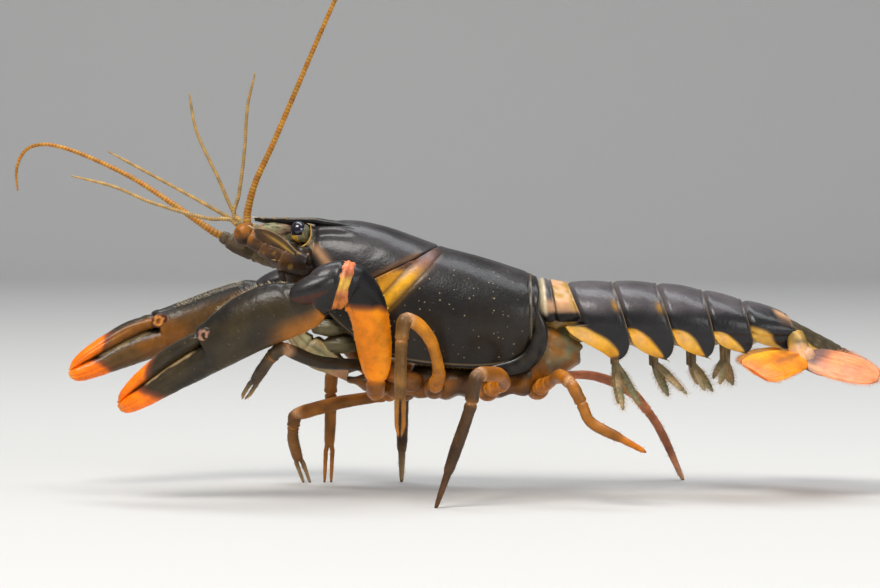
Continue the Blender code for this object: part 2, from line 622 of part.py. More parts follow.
def blade(root, tip, across, half_keys, thick_keys, stations, rib=0.25, arch=0.0):
    """A thin blade from root to tip with a raised middle rib on both faces."""
    return skin(blade_rings(root, tip, across, half_keys, thick_keys, stations, rib, arch))


def blade_rings(root, tip, across, half_keys, thick_keys, stations, rib=0.25, arch=0.0):
    """The rings of a thin blade; without a rib its section has fewer points."""
    aim = (tip - root).normalized()
    across = (across - aim * across.dot(aim)).normalized()
    up = aim.cross(across)
    wide = [(-1.0, 0.35), (-0.55, 0.9), (0.0, 1.0 + rib), (0.55, 0.9), (1.0, 0.35)]
    profile = wide if rib else NARROW_BLADE
    rings = []
    for step in range(stations):
        share = step / (stations - 1)
        half, thick = along(half_keys, share), along(thick_keys, share)
        centre = root.lerp(tip, share) + up * (arch * 4.0 * share * (1.0 - share))
        upper = [centre + across * (half * a) + up * (thick * b) for a, b in profile]
        lower = [centre + across * (half * a) - up * (thick * b) for a, b in reversed(profile)]
        rings.append(upper + lower)
    return rings


def jaw_leg(side):
    """Outer jaw leg, folded forward under the head."""
    path = spline([on_side(place, side) for place in JAW_LEG], 10)
    aims = tangents(path, first=(-1.0, 0.0, 0.25))
    sizes = [along(JAW_LEG_SIZE, step / 9) for step in range(10)]
    thin = [size * 0.75 for size in sizes]
    rings = tube_rings(path[:-1], aims[:-1], (0, 1, 0), thin[:-1], sizes[:-1], 8)
    return fuse("jaw_leg_" + side, [skin(rings, path[-1])], TAN)


def leg(spec):
    """One walking leg in two nodes that meet at the knee."""
    hip = on_side(spec.hip, spec.side)
    knee, tip = limb_place(spec.knee, spec.side), limb_place(spec.tip, spec.side)
    upper = [limb_place(place, spec.side) for place in spec.upper]
    lower = [limb_place(place, spec.side) for place in spec.lower]
    name = "leg_{}_{}".format(spec.side, spec.number)
    first = hip_aim(spec.side, spec.hip, spec.upper[0])
    start = hip + first * GAP
    turn = ((lower[0] - knee).normalized() + (knee - upper[-1]).normalized()).normalized()

    count = 11
    places = spline([start, start + first * 0.8] + upper + [knee], count)
    aims = tangents(places, first=first, last=turn)
    sizes = [along(UPPER_SIZE, step / (count - 1)) for step in range(count)]
    deep = [size * 1.12 for size in sizes]
    fuse(name + "_upper", [skin(tube_rings(places, aims, (1, 0, 0), sizes, deep, 8))], BROWN)

    begin = knee + turn * GAP
    places = spline([begin, begin + turn * 0.6] + lower + [tip], 30)
    share = PINCER_SHARE if spec.pincer else TOE_SHARE
    split = int(round((1.0 - share) * 29))
    last = Vector((0.0, 0.0, -1.0)) if spec.planted else None
    aims = tangents(places, first=turn, last=last)
    shaft = list(range(0, split + 1, 3))
    shaft_path = [places[i] for i in shaft]
    sizes = [along(LOWER_SIZE, step / (len(shaft) - 1)) for step in range(len(shaft))]
    rings = tube_rings(shaft_path, [aims[i] for i in shaft], (1, 0, 0), sizes, sizes, 7)
    toe_path = [places[i] for i in range(split - 2, 30, 3)]
    toe_path[-1] = places[-1]
    pieces = [skin(rings)]
    if spec.pincer:
        pieces += [toe(toe_path, last, offset, spec.planted, 0.62) for offset in (-0.48, 0.48)]
    else:
        pieces.append(toe(toe_path, last, 0.0, spec.planted, 1.0))
    fuse(name + "_lower", pieces, BROWN)


def toe(path, last, offset, planted, share):
    """One claw or finger at a leg's end, flat on the floor where it stands."""
    shift = Vector((offset, 0.0, 0.0))
    places = [place + shift * min(1.0, 0.55 + 0.25 * step) for step, place in enumerate(path)]
    aims = tangents(places, last=last)
    sizes = [share * along(TOE_SIZE, step / (len(places) - 1)) for step in range(len(places))]
    if planted:
        sizes[-1] = 0.3
        return skin(tube_rings(places, aims, (0, 1, 0), sizes, sizes, 6))
    return skin(tube_rings(places[:-1], aims[:-1], (0, 1, 0), sizes[:-1], sizes[:-1], 6), places[-1])


def claw_frame(side):
    """Wrist place and the claw's three directions: on, up and across."""
    aim = on_side(CLAW_AIM[side], side).normalized()
    up = Vector((0.0, 0.0, 1.0))
    up = (up - aim * up.dot(aim)).normalized()
    return limb_place(CLAW_WRIST[side], side), aim, up, aim.cross(up)


def claw_arm(side):
    """Upper arm and wrist block of a claw, parted at the elbow."""
    wrist, aim, up, _ = claw_frame(side)
    hip = on_side(CLAW_HIP, side)
    first = hip_aim(side, CLAW_HIP, CLAW_ARMS[side][0])
    start = hip + first * GAP
    end = wrist + up * WRIST_LIFT - aim * GAP
    route = [start, start + first * 1.0]
    route += [limb_place(place, side) for place in CLAW_ARMS[side]] + [end - aim * 1.5, end]
    count = 31
    places = spline(route, count)
    aims = tangents(places, first=first, last=aim)
    shares = [step / (count - 1) for step in range(count)]
    rings = tube_rings(places, aims, (1.0, 0.0, 0.0), [along(ARM_DEEP, share) for share in shares],
                       [along(ARM_THICK, share) for share in shares], 12)
    elbow = int(round(CLAW_ELBOW[side] * (count - 1)))
    shift = aims[elbow] * GAP
    fuse("claw_arm_" + side, [skin(rings[0:elbow:2] + [rings[elbow]])], ORANGE)
    wrist_rings = [[point + shift for point in rings[elbow]]] + rings[elbow + 2:count:2]
    if (count - 1 - elbow) % 2:
        wrist_rings.append(rings[-1])
    fuse("claw_wrist_" + side, [skin(wrist_rings)], DARK)


def claw_ring(frame, at, low, top, thick, count, power):
    """One ring across a claw at a place along it."""
    wrist, aim, up, across = frame
    centre = wrist + aim * at + up * (0.5 * (low + top))
    return oval(centre, across, up, thick, 0.5 * (top - low), count, power)


def bite(at):
    """Height of the blunt teeth along a cutting edge."""
    return TOOTH * max(0.0, math.sin(2.0 * math.pi * at / TOOTH_PITCH))


def claw_palm(side):
    """Palm with the fixed finger that grows out of it."""
    frame = claw_frame(side)
    rings = []
    for at in (0.0, 1.2, 3.0, 6.0, 9.0, 12.0, 15.0, HINGE):
        rings.append(claw_ring(frame, at, along(CLAW_LOW, at), along(PALM_TOP, at), along(CLAW_THICK, at),
                               12, 2.2))
    steps = 18
    for step in range(steps):
        at = HINGE + 0.5 + (CLAW_LENGTH - HINGE - 1.2) * step / (steps - 1)
        top = along(THUMB_TOP, at) + bite(at) * (step < steps - 4)
        rings.append(claw_ring(frame, at, along(CLAW_LOW, at), top, along(CLAW_THICK, at), 12, 2.1))
    wrist, aim, up, _ = frame
    tip = wrist + aim * CLAW_LENGTH + up * along(THUMB_TOP, CLAW_LENGTH)
    return fuse("claw_palm_" + side, [skin(rings, tip)], DARK)


def claw_finger(side):
    """The claw's moving finger, above the fixed one."""
    frame = claw_frame(side)
    rings = []
    steps = 16
    start, end = FINGER_TOP[0][0], FINGER_TOP[-1][0]
    for step in range(steps):
        at = start + (end - 0.5 - start) * step / (steps - 1)
        low = along(FINGER_LOW, at) - bite(at + 0.5 * TOOTH_PITCH) * (0 < step < steps - 4)
        rings.append(claw_ring(frame, at, low, along(FINGER_TOP, at), along(FINGER_THICK, at), 8, 2.1))
    wrist, aim, up, _ = frame
    tip = wrist + aim * (end + 0.3) + up * (FINGER_LOW[-1][1] + 0.02)
    return fuse("claw_finger_" + side, [skin(rings, tip)], DARK)


def joint_x(joint, z):
    """Place along X of the leaning joint plane between two abdomen rings, at a height."""
    x = ABDOMEN_JOINTS[joint]
    return x + ABDOMEN_LEANS[joint] * (along(ABDOMEN_TOP, x) - z)


def between_joints(index, share, z, margin=0.0):
    """Place along X inside one abdomen ring, a share of the way from its front to its rear plane."""
    front = joint_x(index, z) + margin
    rear = joint_x(index + 1, z) - GAP * 1.1 - margin
    return front + (rear - front) * share


def abdomen_ring(index):
    """One ring of the abdomen: a back plate with a side lobe hanging on each flank."""
    rings = []
    for share, step in PLATE_STEPS:
        top_x = between_joints(index, share, along(ABDOMEN_TOP, ABDOMEN_JOINTS[index]))
        low_x = between_joints(index, share, along(ABDOMEN_BELLY, top_x))
        inset = PLATE_STEP * step
        low = along(ABDOMEN_BELLY, low_x) if index else FIRST_RING_LOW
        ring = shell_ring(0.0, along(ABDOMEN_TOP, top_x) - inset, low,
                          along(ABDOMEN_HALF, low_x) - inset, 0.38, 0.86)
        rings.append([Vector((between_joints(index, share, point.z), point.y, point.z)) for point in ring])
    pieces = [skin(rings)]
    if PLEURON_LOW[index] is not None:
        pieces += [pleuron(index, side) for side in SIDES]
    return fuse("abdomen_{}".format(index + 1), pieces, DARK)


def pleuron(index, side):
    """The side lobe of one abdomen ring, lowest towards its rear corner."""
    low, steps = PLEURON_LOW[index], 8
    outline = [(0.10, PLEURON_ROOT)]
    if index == 1:
        outline += [(-0.12, PLEURON_ROOT - 0.1)]
    for step in range(steps):
        share = step / (steps - 1)
        droop = math.sin(math.pi * share ** 1.35) ** 0.55 if 0 < share < 1 else 0.0
        if index == 1:
            share = share * (1.0 + FIRST_LOBE_REACH) - FIRST_LOBE_REACH
        outline.append((share, PLEURON_NECK - 0.2 - (PLEURON_NECK - 0.2 - low) * droop))
    outline.append((0.92, PLEURON_ROOT))
    half = along(ABDOMEN_HALF, between_joints(index, 0.5, low)) - PLEURON_INSET
    outer, inner = [], []
    for share, z in outline:
        x = between_joints(index, share, z, 0.25)
        fall = (PLEURON_ROOT - z) / (PLEURON_ROOT - low)
        outer.append(Vector((x, SIDES[side] * (half - 0.7 * fall), z)))
        inner.append(Vector((x, SIDES[side] * (half - 0.3 * fall - PLEURON_THICK), z)))
    return plate(outer, inner)


def plate(outer, inner):
    """A closed plate between two outlines of equal count."""
    mesh = bmesh.new()
    faces = []
    for outline in (outer, inner):
        faces.append([mesh.verts.new(point) for point in outline])
    count = len(outer)
    for side in faces:
        mesh.faces.new(side)
    for i in range(count):
        j = (i + 1) % count
        mesh.faces.new((faces[0][i], faces[0][j], faces[1][j], faces[1][i]))
    bmesh.ops.triangulate(mesh, faces=mesh.faces)
    bmesh.ops.recalc_face_normals(mesh, faces=mesh.faces)
    return as_object("plate", mesh)


def behind_last_ring(point, aim):
    """A point moved along a direction onto the plane just behind the last abdomen ring."""
    lean = ABDOMEN_LEANS[-1]
    off = joint_x(6, point.z) + GAP - point.x
    return point + aim * (off / (aim.x + lean * aim.z))


def telson():
    """The middle plate of the tail fan."""
    root, tip = Vector(TELSON_ROOT), Vector(TELSON_TIP)
    rings = blade_rings(root, tip, Vector((0.0, 1.0, 0.0)), TELSON_HALF, TELSON_THICK, 8)
    aim = (tip - root).normalized()
    rings[0] = [behind_last_ring(point, aim) for point in rings[0]]
    return fuse("telson", [skin(rings)], OLIVE)


def uropod(side):
    """One side of the tail fan: a short root with an outer and an inner blade."""
    root, elbow = on_side(UROPOD_ROOT, side), on_side(UROPOD_ELBOW, side)
    aim = (elbow - root).normalized()
    path = [root, root.lerp(elbow, 0.5), elbow + aim * 0.6]
    rings = tube_rings(path, [aim] * 3, (1, 0, 0), [1.5, 1.7, 1.3], [1.2, 1.5, 1.2], 9)
    rings[0] = [behind_last_ring(point, Vector((1.0, 0.0, 0.0))) for point in rings[0]]
    stalk = skin(rings)
    sign = SIDES[side]
    outer = blade(elbow - aim * 0.3, on_side(EXOPOD_TIP, side),
                  Vector(EXOPOD_ACROSS) * Vector((1, sign, 1)),
                  EXOPOD_HALF, FIN_THICK, 9, 0.5, -0.5 * sign)
    inner = blade(elbow - aim * 0.3, on_side(ENDOPOD_TIP, side), on_side(ENDOPOD_ACROSS, side),
                  ENDOPOD_HALF, FIN_THICK, 9, 0.5, 0.4 * sign)
    return fuse("uropod_" + side, [stalk, outer, inner], ORANGE)


def swimmeret(number, side):
    """One swimmeret: a stalk with two soft blades."""
    x, outer_tip, inner_tip = SWIMMERETS[number]
    top = on_side((x, SWIMMERET_Y, along(ABDOMEN_BELLY, x) - GAP), side)
    end = top - Vector((0.0, 0.0, SWIMMERET_STALK))
    path = [top, top.lerp(end, 0.5), end - Vector((0.0, 0.0, 0.5))]
    down = Vector((0.0, 0.0, -1.0))
    pieces = [skin(tube_rings(path, [down] * 3, (1, 0, 0), [0.75, 0.7, 0.6], [0.75, 0.7, 0.6], 6))]
    for tip in (outer_tip, inner_tip):
        pieces.append(blade(end + Vector((0.0, 0.0, 0.2)), on_side(tip, side), Vector((1.0, 0.4, 0.0)),
                            SWIMMERET_HALF, SWIMMERET_THICK, 4, 0.0))
    return fuse("swimmeret_{}_{}".format(side, number), pieces, TAN)


def stand_in_metres():
    """Put the middle of the floor under the model at the origin, in metres."""
    nodes = [thing for thing in bpy.data.objects if thing.type == "MESH"]
    corners = [vertex.co for node in nodes for vertex in node.data.vertices]
    low = Vector([min(corner[axis] for corner in corners) for axis in range(3)])
    high = Vector([max(corner[axis] for corner in corners) for axis in range(3)])
    middle = Vector((0.5 * (low.x + high.x), 0.5 * (low.y + high.y), low.z))
    change = Matrix.Scale(MM, 4) @ Matrix.Translation(-middle)
    carrier = bpy.data.objects.new("crayfish", None)
    bpy.context.scene.collection.objects.link(carrier)
    for node in nodes:
        node.data.transform(change)
        node.parent = carrier


def build():
    """Make every node."""
    clear_scene()
    head()
    thorax()
    sternum()
    for side in SIDES:
        eye(side)
        antennule_root(side)
        antennule_whips(side)
        antenna(side)
        jaw_leg(side)
        claw_arm(side)
        claw_palm(side)
        claw_finger(side)
        uropod(side)
        for number in SWIMMERETS:
            swimmeret(number, side)
    for spec in LEGS:
        leg(spec)
    for index in range(6):
        abdomen_ring(index)
    telson()
    stand_in_metres()


build()
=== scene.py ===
"""The looks of a life-size still crayfish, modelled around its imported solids.

Every form is worked out in millimetres from the same sizes that drive the solids,
and is put in the frame's place at the end. X runs from head to tail, the animal's
left side faces -Y and Z is the height over the floor.
"""

import json
import math
import random

import bmesh
import bpy
import numpy as np
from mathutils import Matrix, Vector, noise

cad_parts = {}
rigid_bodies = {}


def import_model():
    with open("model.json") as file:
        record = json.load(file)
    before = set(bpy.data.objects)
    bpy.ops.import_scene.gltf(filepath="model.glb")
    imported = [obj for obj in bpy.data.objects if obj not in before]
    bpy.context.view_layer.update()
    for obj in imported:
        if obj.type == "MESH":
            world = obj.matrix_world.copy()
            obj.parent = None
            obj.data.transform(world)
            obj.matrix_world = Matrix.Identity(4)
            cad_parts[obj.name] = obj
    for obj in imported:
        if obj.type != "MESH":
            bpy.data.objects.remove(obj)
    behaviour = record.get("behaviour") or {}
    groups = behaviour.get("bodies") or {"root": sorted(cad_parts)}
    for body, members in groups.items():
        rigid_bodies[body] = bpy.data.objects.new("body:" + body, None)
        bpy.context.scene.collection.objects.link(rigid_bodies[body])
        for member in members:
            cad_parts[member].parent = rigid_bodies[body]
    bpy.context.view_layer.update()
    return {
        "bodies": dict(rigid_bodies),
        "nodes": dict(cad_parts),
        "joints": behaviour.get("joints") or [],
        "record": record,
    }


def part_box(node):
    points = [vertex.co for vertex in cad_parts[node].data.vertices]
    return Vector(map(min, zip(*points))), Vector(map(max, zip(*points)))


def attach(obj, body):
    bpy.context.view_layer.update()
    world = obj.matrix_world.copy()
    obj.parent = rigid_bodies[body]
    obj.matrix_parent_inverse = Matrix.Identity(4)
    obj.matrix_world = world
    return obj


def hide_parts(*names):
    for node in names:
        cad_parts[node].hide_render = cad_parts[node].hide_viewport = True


# Metres in a millimetre, the Y sign of each side, the floor's level, and the roll of the limbs in radians
MM = 0.001
SIDES = {"left": -1.0, "right": 1.0}
FLOOR = -1.0
LIMB_ROLL = 0.0436

# Camera, in metres: a nearly level view of the animal's left side
VIEW_RISE = math.radians(2.5)
VIEW_REACH = 0.55
VIEW_WIDTH = 0.1452
VIEW_TARGET = (0.0, 0.001, 0.033)
SENSOR_WIDTH = 36.0

# Floor and light, in metres
FLOOR_HALF = 5.0
FLOOR_FRONT = -1.6
FLOOR_REAR = 0.9
FLOOR_CURVE = 0.35
WALL_TOP = 1.6
FLOOR_TINT = (0.60, 0.59, 0.57, 1.0)
SKY_TINT = (0.80, 0.86, 0.95, 1.0)
SKY_POWER = 0.28
LAMP_AIM = (0.0, 0.0, 0.03)
LAMPS = [
    ("key", (-0.25, -0.45, 0.75), (0.45, 0.35), 7.4, (1.0, 0.97, 0.93)),
    ("overhead", (0.12, 0.15, 0.8), (0.9, 0.30), 4.8, (0.93, 0.97, 1.0)),
    ("fill", (0.5, -0.6, 0.25), (0.4, 0.3), 1.8, (1.0, 1.0, 1.0)),
]

# Finishes
NOISE_RANGE = (0.3, 0.7)
FLECKS_PER_MM = 1.25
FLECK_SIZE = 0.21
FLECK_TINT = (0.26, 0.20, 0.12, 1.0)
HAIR_CURL = 0.15

# Shell of head and thorax
CARAPACE_FRONT = -21.4
CARAPACE_REAR = 16.3
CARAPACE_TOP = [(-21.4, 43.5), (-15.0, 44.2), (-9.5, 43.4), (-4.1, 41.6),
                (0.5, 39.9), (5.4, 38.6), (13.4, 36.1), (16.3, 34.8)]
CARAPACE_BOTTOM = [(-21.4, 32.4), (-19.0, 30.0), (-15.0, 26.2), (-11.0, 23.3), (-7.0, 21.9),
                   (-4.4, 21.2), (3.7, 20.5), (9.1, 20.7), (13.2, 21.9), (15.3, 24.1), (16.3, 26.6)]
CARAPACE_HALF = [(-21.4, 5.4), (-18.0, 6.9), (-12.0, 8.3), (-4.0, 9.6),
                 (5.0, 10.3), (11.0, 10.1), (15.0, 9.3), (16.3, 9.0)]
CARAPACE_WAIST = 0.42
CARAPACE_TUCK = 0.80
GROOVE_X = -0.66
GROOVE_Z = 39.8
GROOVE_LEAN = 0.49
SHELL_HEM = ((0.02, -0.12), (0.06, -0.14), (0.1, 0.0), (0.16, 0.5), (0.5, 0.9))
BORDER_PATH = [(15.9, 8.6, 29.6), (16.5, 8.7, 26.6), (16.0, 8.5, 23.8), (14.6, 8.2, 21.7), (12.2, 8.1, 20.5),
               (8.0, 8.1, 20.1)]

# Yellow band and patch on the flank, as lines in X and Z
BAND_TOP = (-0.5, 39.6)
BAND_FOOT = (-9.2, 30.6)
BAND_HALF = 1.05

# Rostrum, as places and shares of its half width, and the ridges behind it
ROSTRUM_TIP_X = -30.5
ROSTRUM_REAR_X = -13.0
ROSTRUM_Z = 44.6
ROSTRUM_HALF = [(-30.3, 0.25), (-29.4, 0.75), (-28.0, 1.3), (-25.0, 1.9), (-22.0, 2.3), (-18.0, 3.0),
                (-13.0, 3.7)]
ROSTRUM_PROFILE = [(0.0, -0.42, 0), (0.5, -0.34, 0), (0.80, 0.0, 0), (0.93, -0.04, 0), (1.0, -0.34, 0),
                   (0.92, -0.95, 0), (0.55, -1.5, 0), (0.0, -1.72, 0)]
ROSTRUM_TEETH = (-28.9, -27.1, -25.2)
# Front of the head under the rostrum
MUZZLE_WIDE = [(-25.9, 1.4), (-24.5, 2.5), (-22.0, 3.6), (-19.5, 4.2)]
MUZZLE_HIGH = [(-25.9, 1.6), (-24.5, 2.8), (-22.0, 3.6), (-19.5, 3.9)]
RIDGE_FRONT = (-21.3, 3.3)
RIDGE_REAR = (-12.6, 4.9)

# Eyes
EYE_PLACE = (-22.95, 4.05, 42.6)
EYE_RADIUS = 1.42
ORBIT_LUMPS = [((0.15, 0.35, -1.0), (1.35, 0.85, 0.95)), ((1.0, 0.0, -0.5), (1.0, 1.2, 1.5))]
ORBIT_RIM = [(1.95, 0.55, 1.0), (2.1, 0.95, -0.6), (1.6, 1.25, -1.9), (0.5, 1.35, -2.7), (-0.2, 1.3, -3.1)]

# Breast plate
STERNUM_BOTTOM = [(-14.5, 17.2), (-9.0, 15.6), (0.0, 15.0), (10.0, 15.2), (17.0, 16.2), (20.0, 18.2),
                  (22.8, 20.6)]
STERNUM_HALF = [(-14.5, 3.0), (-9.0, 4.2), (-2.0, 5.6), (8.0, 6.2), (13.0, 7.0), (18.0, 7.2), (20.5, 5.8),
                (22.8, 4.8)]
STERNUM_TOP = [(-14.5, 18.7), (-5.2, 18.7), (-4.0, 20.5), (9.0, 20.1), (13.6, 21.4), (16.1, 25.2),
               (16.8, 27.4), (22.8, 27.4)]

# Abdomen
ABDOMEN_JOINTS = [16.6, 21.0, 28.4, 35.7, 43.3, 49.8, 56.4]
ABDOMEN_LEANS = [0.0, 0.38, 0.30, 0.29, 0.20, 0.20, 0.30]
ABDOMEN_TOP = [(16.6, 34.4), (21.0, 34.0), (28.4, 34.1), (36.0, 33.8), (43.0, 32.8), (50.0, 31.1),
               (56.4, 29.2), (58.4, 27.9)]
ABDOMEN_HALF = [(16.6, 7.9), (22.0, 8.6), (34.0, 8.6), (44.0, 7.9), (52.0, 7.0), (58.0, 5.9)]
ABDOMEN_BELLY = [(16.6, 25.6), (22.0, 24.2), (28.0, 23.3), (44.0, 23.2), (52.0, 23.8), (58.0, 24.4)]
FIRST_RING_LOW = 27.9
FIRST_LOBE_FRONT = [(20.7, 29.9), (21.7, 28.2), (23.0, 26.3), (24.9, 22.9), (26.4, 20.9), (28.4, 19.8)]
PLEURON_LOW = [27.9, 21.7, 21.5, 21.8, 22.5, 23.2]
PLEURON_ROOT = 27.6
PLATE_THICK = 0.55

# Tail fan
TELSON_ROOT = (56.6, 0.0, 27.0)
TELSON_TIP = (72.4, 0.0, 19.3)
TELSON_HALF = [(0.0, 4.0), (0.35, 4.6), (0.7, 4.4), (0.93, 3.2), (1.0, 1.9)]
TELSON_THICK = [(0.0, 1.25), (0.5, 1.0), (1.0, 0.4)]
TELSON_ARCH = 1.8
UROPOD_ROOT = (58.2, 4.8, 25.6)
UROPOD_ELBOW = (58.9, 7.8, 21.6)
EXOPOD_TIP = {"left": (50.8, 14.8, 20.0), "right": (53.0, 14.8, 18.9)}
EXOPOD_ACROSS = (0.58, 0.68, -0.42)
EXOPOD_HALF = [(0.0, 1.8), (0.2, 3.2), (0.6, 4.0), (0.9, 3.9), (1.0, 3.0)]
ENDOPOD_TIP = (71.2, 10.0, 19.0)
ENDOPOD_ACROSS = (0.12, 0.80, -0.58)
ENDOPOD_HALF = [(0.0, 1.8), (0.2, 3.2), (0.35, 3.6), (0.7, 3.6), (0.92, 2.5), (1.0, 1.3)]
EXOPOD_ARCH = -0.5
ENDOPOD_ARCH = 0.4
KNOB_PLACE = (60.1, 8.3, 22.0)
KNOB_RADII = (1.1, 0.8, 1.7)
FIN_THICK = [(0.0, 0.9), (0.4, 0.5), (1.0, 0.28)]

# Swimmerets
SWIMMERET_Y = 3.9
SWIMMERET_STALK = 2.2
SWIMMERET_ACROSS = (1.0, 0.4, 0.0)
SWIMMERET_HALF = [(0.0, 0.35), (0.4, 0.64), (0.8, 0.5), (1.0, 0.16)]
SWIMMERETS = {
    2: (29.0, (30.0, 7.2, 13.4), (33.0, 4.2, 13.9)),
    3: (35.4, (40.4, 7.0, 16.0), (37.6, 4.0, 15.4)),
    4: (41.6, (43.3, 6.8, 16.6), (44.9, 4.0, 16.2)),
    5: (47.2, (45.8, 6.4, 17.6), (48.2, 3.8, 17.2)),
}

# Feelers
ANTENNULE_ROOT = (-21.7, 1.1, 41.3)
ANTENNULE_BEND = (-27.5, 1.3, 41.8)
ANTENNULE_END = (-32.9, 1.5, 43.7)
ANTENNULE_AIM = (-0.75, 0.0, 0.66)
ANTENNULES = {
    "left": {"long": [(-38.0, 1.3, 44.5), (-47.2, 1.2, 47.1), (-53.4, 1.0, 49.7), (-60.4, 1.0, 51.5)],
             "short": [(-32.9, 1.6, 48.2), (-31.9, 2.2, 55.4), (-31.3, 3.0, 62.9), (-30.0, 4.0, 68.3)]},
    "right": {"long": [(-41.1, 1.2, 48.2), (-47.4, 2.0, 51.6), (-54.7, 3.0, 55.5)],
              "short": [(-36.4, 1.4, 51.0), (-40.1, 2.2, 59.0), (-41.3, 3.0, 65.2)]},
}
ANTENNA_BASE = {"left": [(-21.7, 5.1, 37.0),
                         (-25.6, 5.3, 38.5), (-28.9, 5.1, 40.4), (-31.3, 4.8, 42.1), (-31.3, 4.7, 43.6)],
                "right": [(-21.7, 5.1, 37.0), (-25.6, 5.3, 37.8), (-29.6, 5.0, 38.7), (-33.2, 4.5, 39.9),
                          (-36.0, 4.3, 41.4)], }
ANTENNA_BASE_SIZE = [(0.0, 1.9), (0.3, 2.15), (0.55, 1.75), (0.8, 1.5), (1.0, 0.95)]
ANTENNA = {
    "left": [(-29.9, 7.0, 50.6), (-27.1, 10.0, 56.5), (-23.0, 14.0, 65.7), (-18.7, 18.0, 75.4),
             (-14.6, 20.6, 84.0), (-9.0, 22.0, 93.0), (-2.5, 22.4, 100.5)],
    "right": [(-44.8, 8.0, 46.6), (-51.4, 12.0, 50.4), (-58.1, 15.0, 53.4), (-63.2, 17.0, 55.2),
              (-67.0, 18.0, 55.9), (-69.9, 19.0, 55.2), (-71.4, 19.4, 53.5), (-72.1, 19.8, 50.9),
              (-71.9, 20.0, 47.9)],
}
ANTENNA_SIZE = [(0.0, 0.65), (0.15, 0.5), (0.6, 0.36), (0.9, 0.27), (1.0, 0.14)]
ANTENNULE_SIZE = [(0.0, 0.34), (0.5, 0.28), (0.85, 0.25), (1.0, 0.12)]
SNOUT_PLACE = (-26.9, 1.3, 42.55)
SNOUT_RADII = (3.5, 1.15, 1.25)
ANTENNA_FEET = [((-22.4, 4.7, 37.9), (2.2, 1.5, 2.4), 26, 36, 0.18, 1.8),
                ((-24.6, 4.4, 39.6), (2.0, 1.5, 1.5), 22, 30, 0.16, 2.0)]
NEAR_KNOB = ((-31.75, -4.9, 42.0), (1.75, 1.5, 1.95))
SCALE_ROOT = (-23.6, 6.6, 38.6)
SCALE_TIP = (-30.2, 6.9, 43.0)
SCALE_ACROSS = (0.35, 0.25, 0.6)
SCALE_HALF = [(0.0, 0.9), (0.4, 1.55), (0.75, 1.2), (1.0, 0.12)]

# Jaw legs and mouthparts: lumps as X, Y, Z and size, palps as X, Y, Z and length
JAW_LEG = [(-14.9, 2.0, 18.9), (-18.4, 2.5, 21.2), (-22.6, 2.8, 24.2), (-25.4, 2.8, 28.6), (-26.6, 2.5, 33.4)]
JAW_LEG_SIZE = [(0.0, 1.2), (0.3, 1.6), (0.6, 1.25), (0.85, 0.9), (1.0, 0.4)]
MOUTH_LUMPS = [(-22.4, 1.6, 33.2, 1.7), (-23.8, 1.4, 31.6, 1.35), (-21.4, 2.6, 31.2, 1.5),
               (-19.2, 2.2, 29.2, 1.8), (-24.6, 1.8, 35.4, 1.5), (-22.8, 3.4, 35.0, 1.9),
               (-20.6, 3.9, 33.2, 2.0), (-25.6, 1.2, 33.2, 1.1), (-18.0, 3.2, 26.6, 1.9),
               (-16.0, 2.6, 23.8, 2.0)]
MOUTH_PALPS = [(-24.6, 1.0, 34.4, 3.4), (-23.4, 2.2, 33.8, 4.0), (-22.0, 3.0, 33.4, 4.4)]

# Walking legs: side, number, hip, points up to the knee, knee, points down, tip, pincer, planted
LEGS = [
    ("left", 2, (-6.5, 6.6, 18.6), [(-9.9, 5.4, 20.6), (-13.5, 7.2, 21.1), (-19.8, 12.2, 22.2)],
     (-24.6, 15.6, 24.6), [(-27.3, 14.4, 22.7)], (-31.8, 8.5, 15.6), True, False),
    ("left", 3, (-0.6, 7.4, 17.4), [(0.0, 10.6, 20.0), (-1.1, 15.2, 25.4), (-3.0, 18.0, 28.4)],
     (-4.9, 19.6, 29.8), [(-6.0, 20.4, 25.0)], (-6.2, 21.0, 11.0), True, False),
    ("left", 4, (8.6, 7.6, 16.9), [(10.6, 11.8, 18.6), (9.6, 17.0, 20.6)],
     (6.4, 21.4, 21.2), [(4.9, 22.0, 15.8), (2.6, 22.2, 9.0)], (-0.5, 22.4, FLOOR), False, True),
    ("left", 5, (16.6, 7.0, 17.1), [(18.2, 11.8, 19.0), (19.4, 16.4, 20.4)],
     (20.9, 20.4, 19.6), [(22.6, 21.2, 16.6), (24.1, 21.8, 13.6), (28.6, 22.8, 11.2)], (32.8, 23.6, 9.0),
     False, False),
    ("right", 2, (-6.2, 6.8, 15.9), [(-8.0, 10.6, 14.3), (-12.4, 12.6, 13.3), (-17.2, 14.2, 12.3)],
     (-24.0, 16.6, 10.2), [(-24.8, 17.4, 5.4)], (-22.6, 18.2, FLOOR), True, True),
    ("right", 3, (-0.6, 7.4, 17.0), [(-6.0, 12.4, 18.8), (-13.6, 16.4, 18.8)],
     (-17.8, 17.8, 17.2), [(-18.5, 18.2, 10.0)], (-19.0, 18.6, FLOOR), True, True),
    ("right", 4, (8.6, 7.6, 16.9), [(3.0, 13.2, 19.2), (-2.4, 16.8, 19.6)],
     (-5.2, 18.2, 18.0), [(-6.2, 18.8, 10.0)], (-6.4, 19.2, FLOOR), False, True),
    ("right", 5, (16.6, 7.0, 17.1), [(24.3, 11.4, 17.4), (30.4, 15.4, 15.4)],
     (33.2, 17.2, 13.4), [(37.6, 19.8, 7.4)], (42.0, 22.6, FLOOR), False, True),
]
LIMB_SWELL = 0.14
LIMB_NOTCH = 0.24
PINCER_SHARE = 0.32
PINCER_GAP = 0.56
PINCER_SIZE = 0.68
TOE_SHARE = 0.26
TOE_SIZE = [(0.0, 0.66), (0.5, 0.52), (0.85, 0.40)]
